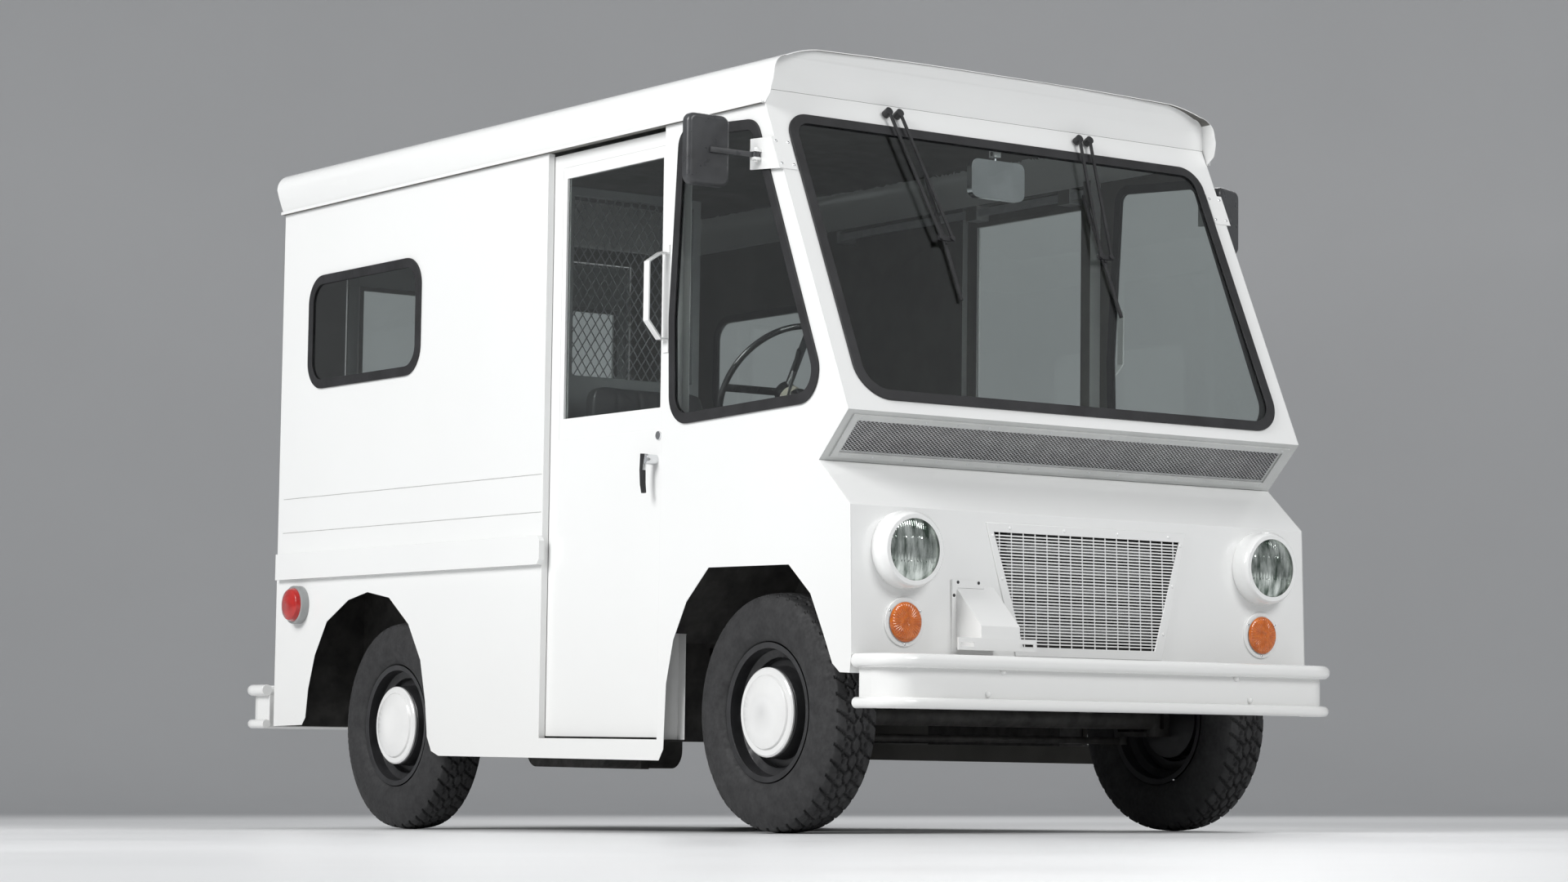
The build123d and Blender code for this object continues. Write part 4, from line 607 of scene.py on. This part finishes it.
frame_foot, frame_top, frame_edge = 522, 906, 27          # heights and width of the riveted frame
half_foot, half_top = 283, 388


def half_opening(z):
    """Half width of the opening at a height: it grows evenly from foot to top, less the frame."""
    return half_foot + (z - frame_foot) * (half_top - half_foot) / (frame_top - frame_foot) - frame_edge


pale_grey = finish("pale_grey_enamel", (0.60, 0.61, 0.60), (0.54, 0.55, 0.54), 7.0, (0.28, 0.40), 260.0, 0.05)
nose_out = np.array([0.0, -1.0, 0.0])
levels = np.linspace(549, 879, 37)[1:-1]
reach = half_opening(levels) + 3
columns = np.arange(-7.5, 8.0) * 45.0
foot = np.maximum(549 - 3, 522 + (np.abs(columns) + 27 - 283) * 384 / 105)
grille = strips("grille_level_strips", on_nose(-reach, levels, 1.6), on_nose(reach, levels, 1.6), nose_out,
                3.9, 1.4)
fitted("grille_level_strips", grille, "van_body", white, ("radiator_grille",))
grille = strips("grille_upright_strips", on_nose(columns, foot, 0.4), on_nose(columns, 0 * columns + 882, 0.4),
                nose_out, 3.6, 1.2)
fitted("grille_upright_strips", grille, "van_body", white)


def outline(inset, rise):
    """The frame's four corners, moved inwards by inset along its level and its slanting sides."""
    pull = inset * 1.04
    x = np.array([-half_top + pull, half_top - pull, half_foot - pull, -half_foot + pull])
    z = np.array([frame_top - inset, frame_top - inset, frame_foot + inset, frame_foot + inset])
    return on_nose(x, z, rise)


border = np.stack([outline(0, 0.1), outline(0, 4.6), outline(frame_edge, 4.6), outline(frame_edge, 0.1)])
grille = fitted("grille_border", grid_mesh("grille_border", on_van(border), True, True), "van_body", white)
ease = grille.modifiers.new("eased_edges", "BEVEL")
ease.width, ease.segments = 0.0012, 2
side_z = np.array([600.0, 745.0, 868.0])
pins = np.concatenate([on_nose(np.array([-300.0, -92, 115, 317]), 892.5, 4.6),
                       *(on_nose(sign * (half_opening(side_z) + 13), side_z, 4.6) for sign in (-1, 1))])
studs("grille_rivets", pins, nose_out, 5.5, 3.0, white)

slant = np.array([0.0, -137.4, 137.0]) / math.hypot(137.4, 137.0)
slant_out = np.array([0.0, -slant[2], slant[1]])
middle = np.array([0.0, -372.3, 1136.95])


def lattice(origin, along, up, out, length, tall, pitch, lean, width, depth, name):
    """Two families of slanting strips, clipped to a length by tall field, that cross in diamonds."""
    starts, ends = [], []
    for way, lift in ((1, 0.0), (-1, depth * 0.8)):
        u = np.arange(-tall * lean, length + tall * lean, pitch)
        low = np.clip((0 - u) / lean if way > 0 else (u - length) / lean, 0, tall)
        high = np.clip((length - u) / lean if way > 0 else u / lean, 0, tall)
        keep = high - low > 2
        u, low, high = u[keep, None], low[keep, None], high[keep, None]
        for part, v in ((starts, low), (ends, high)):
            part.append(origin + along * (u + way * lean * v - length / 2) + up * (v - tall / 2) + out * lift)
    return strips(name, np.concatenate(starts), np.concatenate(ends), out, width, depth)


dressed("intake_frame", (pale_grey,), soften=0.0008,
        drop=lambda c: (np.abs(c[:, 0]) < 815) & (np.abs((c - middle) @ slant) < 54))
screen = lattice(middle, np.array([1.0, 0, 0]), slant, slant_out, 1650, 122, 15.0, 1.5, 1.5, 0.6,
                 "intake_screen")
fitted("intake_screen", screen, "van_body", zinc)
edge = np.concatenate([middle + slant_out * 6 + slant * v + np.outer(np.linspace(-820, 820, 15), [1.0, 0, 0])
                       for v in (-71.0, 71.0)])
studs("intake_rivets", edge, slant_out, 4.0, 1.6, zinc)

# ---------------------------------------------------------------- radiator
# Aluminium core of flat level tubes with crimped fins between them, under a black header tank and
# over a black bottom tank, standing just behind the grille.
fins = finish("crimped_fins", (0.62, 0.63, 0.63), (0.16, 0.165, 0.17), 190.0, (0.25, 0.50), 500.0, 0.5,
              metallic=0.8)
tubes = finish("radiator_tubes", (0.66, 0.67, 0.67), (0.50, 0.51, 0.51), 60.0, (0.25, 0.45), 300.0, 0.2,
               metallic=0.8)
level = np.linspace(590, 862, 26)
ends = np.stack([0 * level - 283, 0 * level - 424, level], -1)
rows = strips("radiator_tubes", ends, ends * [-1, 1, 1], np.array([0, -1.0, 0]), 2.6, 3.0)
fitted("radiator_tubes", rows, "van_body", tubes)
crimp = np.linspace(-282, 282, 377)[None, :]
band = np.linspace(588, 866, 53)[:, None]
wave = -421 + 3.0 * np.cos(np.pi * np.arange(377))[None, :] + 0 * band
sheet = grid_mesh("radiator_fins", on_van(np.stack([crimp + 0 * band, wave, band + 0 * crimp], -1)))
fitted("radiator_fins", sheet, "van_body", fins)
tank = np.array([[-290, -400, 872.0], [-290, -400, 578.0]])
tops = strips("radiator_tanks", tank, tank * [-1, 1, 1], np.array([0, -1.0, 0]), 22.0, 34.0)
fitted("radiator_tanks", tops, "van_body", black)

# ---------------------------------------------------------------- side seams
# Two thin beads of sealer along the cargo sides, where the lower panels are welded to the upper.
sealer = finish("seam_sealer", (0.50, 0.50, 0.49), (0.42, 0.42, 0.41), 30.0, (0.5, 0.7), 300.0, 0.2)
for sign, label in ((-1, "right"), (1, "left")):
    begin = np.array([[sign * 877.3, 1178.0, z] for z in (1106, 985)])
    stop = begin + [0.0, 1732.0, 0.0]
    bead = strips("side_seams_" + label, begin, stop, np.array([sign * 1.0, 0, 0]), 2.6, 0.5)
    fitted("side_seams_" + label, bead, "van_body", sealer)

# ---------------------------------------------------------------- partition behind the driver
# Sheet and angle-iron bulkhead painted grey, its upper half filled with expanded diamond mesh.
dressed("partition_screen", (grey,),
        drop=lambda c: (np.abs(c[:, 0] + 523.5) < 225) & (np.abs(c[:, 2] - 1725) < 285))
screen = lattice(np.array([-523.5, 1203.4, 1725.0]), np.array([1.0, 0, 0]), np.array([0, 0, 1.0]),
                 np.array([0, 1.0, 0]), 467, 584, 33.0, 0.66, 3.4, 1.5, "partition_mesh")
fitted("partition_mesh", screen, "van_body", grey)

# ---------------------------------------------------------------- screws and bolts
# Carriage bolts through the bumpers' web, painted over; screws round the turn lamps, on the housing
# beside the grille and on the mirror brackets.
bolts = np.array([[s * x, -615.0, z] for s in (-1, 1) for x, z in ((450, 472), (505, 407))])
studs("front_bumper_bolts", bolts, (0, -1, 0), 10.0, 10.0, white)
bolts = np.array([[s * x, 3210.0, z] for s in (-1, 1) for x, z in ((450, 400), (505, 335))])
studs("rear_bumper_bolts", bolts, (0, 1, 0), 10.0, 10.0, white)
spin = np.radians([30.0, 150.0, 270.0])
ring_x, ring_z = 63.5 * np.cos(spin), 63.5 * np.sin(spin)
screws = np.concatenate([np.stack([s * turn_lamp[0] + ring_x, 0 * spin - 471, turn_lamp[1] + ring_z], -1)
                         for s in (-1, 1)])
studs("turn_lamp_screws", screws, (0, -1, 0), 4.0, 1.8, chrome)
screws = [[-499, -470.2, 728], [-423, -470.2, 728], [-513, -470.2, 690]]
studs("housing_screws", screws, (0, -1, 0), 5.0, 1.5, black)
glaze_up, glaze_out = np.array([0, 0.4129, 0.9108]), np.array([0, -0.9108, 0.4129])
plate = np.array([0.0, -441.0, 1205.4])
screws = np.array([plate + [s * (859 + a), 0, 0] + glaze_up * u + glaze_out * 3
                   for s in (-1, 1) for a in (-24, 20) for u in (812, 889)])
studs("mirror_bracket_rivets", screws, glaze_out, 4.5, 2.0, chrome)

# ---------------------------------------------------------------- seat
# Two foam pads under tight black vinyl: a cushion and a backrest, crowned by the stuffing, with
# pressed channels.
vinyl = finish("black_seat_vinyl", (0.030, 0.030, 0.032), (0.020, 0.020, 0.021), 18.0, (0.38, 0.55), 900.0, 0.55,
               sockets={"Sheen Weight": 0.1})


def pad(name, low, high, channels, axis, face, cap):
    """A box rounded by a high-power norm, swollen by cloth pressure and grooved by cosine channels."""
    line = np.linspace(-1, 1, 26)
    a, b = np.meshgrid(line, line, indexing="ij")
    one = np.ones_like(a)
    faces = [np.stack(f, -1) for f in ((a, b, one), (a, b, -one), (a, one, b), (a, -one, b),
                                       (one, a, b), (-one, a, b))]
    work = bmesh.new()
    for f in faces:
        p = f / (np.abs(f) ** 9).sum(-1, keepdims=True) ** (1 / 9)
        work.from_mesh(grid_mesh("pad_side", p))
    bmesh.ops.remove_doubles(work, verts=work.verts, dist=1e-4)
    bmesh.ops.recalc_face_normals(work, faces=work.faces)
    mesh = bpy.data.meshes.new(name)
    work.to_mesh(mesh)
    work.free()
    low, high = np.asarray(low, float), np.asarray(high, float)
    spot = np.empty(len(mesh.vertices) * 3)
    mesh.vertices.foreach_get("co", spot)
    spot = on_van((low + high) / 2 + spot.reshape(-1, 3) * ((high - low) / 2 - 7))
    mesh.vertices.foreach_set("co", spot.ravel())
    mesh.update()
    piece = linked(name, mesh)
    merge = piece.modifiers.new("remesh", "REMESH")
    merge.mode, merge.voxel_size = "VOXEL", 0.009
    depth = bpy.context.evaluated_depsgraph_get()
    piece.data = bpy.data.meshes.new_from_object(piece.evaluated_get(depth))
    piece.modifiers.clear()
    rest = np.empty(len(piece.data.vertices) * 3)
    piece.data.vertices.foreach_get("co", rest)
    cloth = piece.modifiers.new("stuffing", "CLOTH")
    cloth.settings.use_pressure, cloth.settings.uniform_pressure_force = True, 4.0
    cloth.settings.effector_weights.gravity = 0.0
    cloth.settings.quality = 5
    cloth.point_cache.frame_start, cloth.point_cache.frame_end = 1, 20
    for step in range(1, 21):
        bpy.context.scene.frame_set(step)
    depth = bpy.context.evaluated_depsgraph_get()
    swollen = bpy.data.meshes.new_from_object(piece.evaluated_get(depth))
    piece.modifiers.clear()
    bpy.context.scene.frame_set(1)
    full = np.empty(len(swollen.vertices) * 3)
    swollen.vertices.foreach_get("co", full)
    move = (full - rest).reshape(-1, 3)
    size = np.linalg.norm(move, axis=1, keepdims=True)
    full = rest.reshape(-1, 3) + move * np.minimum(1, cap / np.maximum(size, 1e-9))
    swollen.vertices.foreach_set("co", full.ravel())
    piece.data = swollen
    swollen.update()
    mesh = piece.data
    spot, normal = np.empty(len(mesh.vertices) * 3), np.empty(len(mesh.vertices) * 3)
    mesh.vertices.foreach_get("co", spot)
    mesh.vertices.foreach_get("normal", normal)
    spot, normal = spot.reshape(-1, 3), normal.reshape(-1, 3)
    phase = (spot[:, axis] - spot[:, axis].min()) / np.ptp(spot[:, axis]) * channels
    groove = np.exp(-((phase - np.round(phase)) / 0.07) ** 2) * (np.round(phase) % channels > 0)
    facing = np.clip(normal[:, face[0]] * face[1], 0, 1) ** 2
    mesh.vertices.foreach_set("co", (spot - normal * (0.007 * groove * facing)[:, None]).ravel())
    mesh.materials.clear()
    mesh.materials.append(vinyl)
    mesh.shade_smooth()
    finer = piece.modifiers.new("finer", "SUBSURF")
    finer.levels = finer.render_levels = 1
    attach(piece, "van_body")
    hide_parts("seat_cushions")
    return piece


pad("seat_cushion_pad", (-790, 640, 852.5), (-338, 1056, 975), 5, 0, (2, 1), 0.012)
pad("seat_back_pad", (-796, 1020, 985), (-332, 1099, 1402), 5, 0, (1, -1), 0.012)
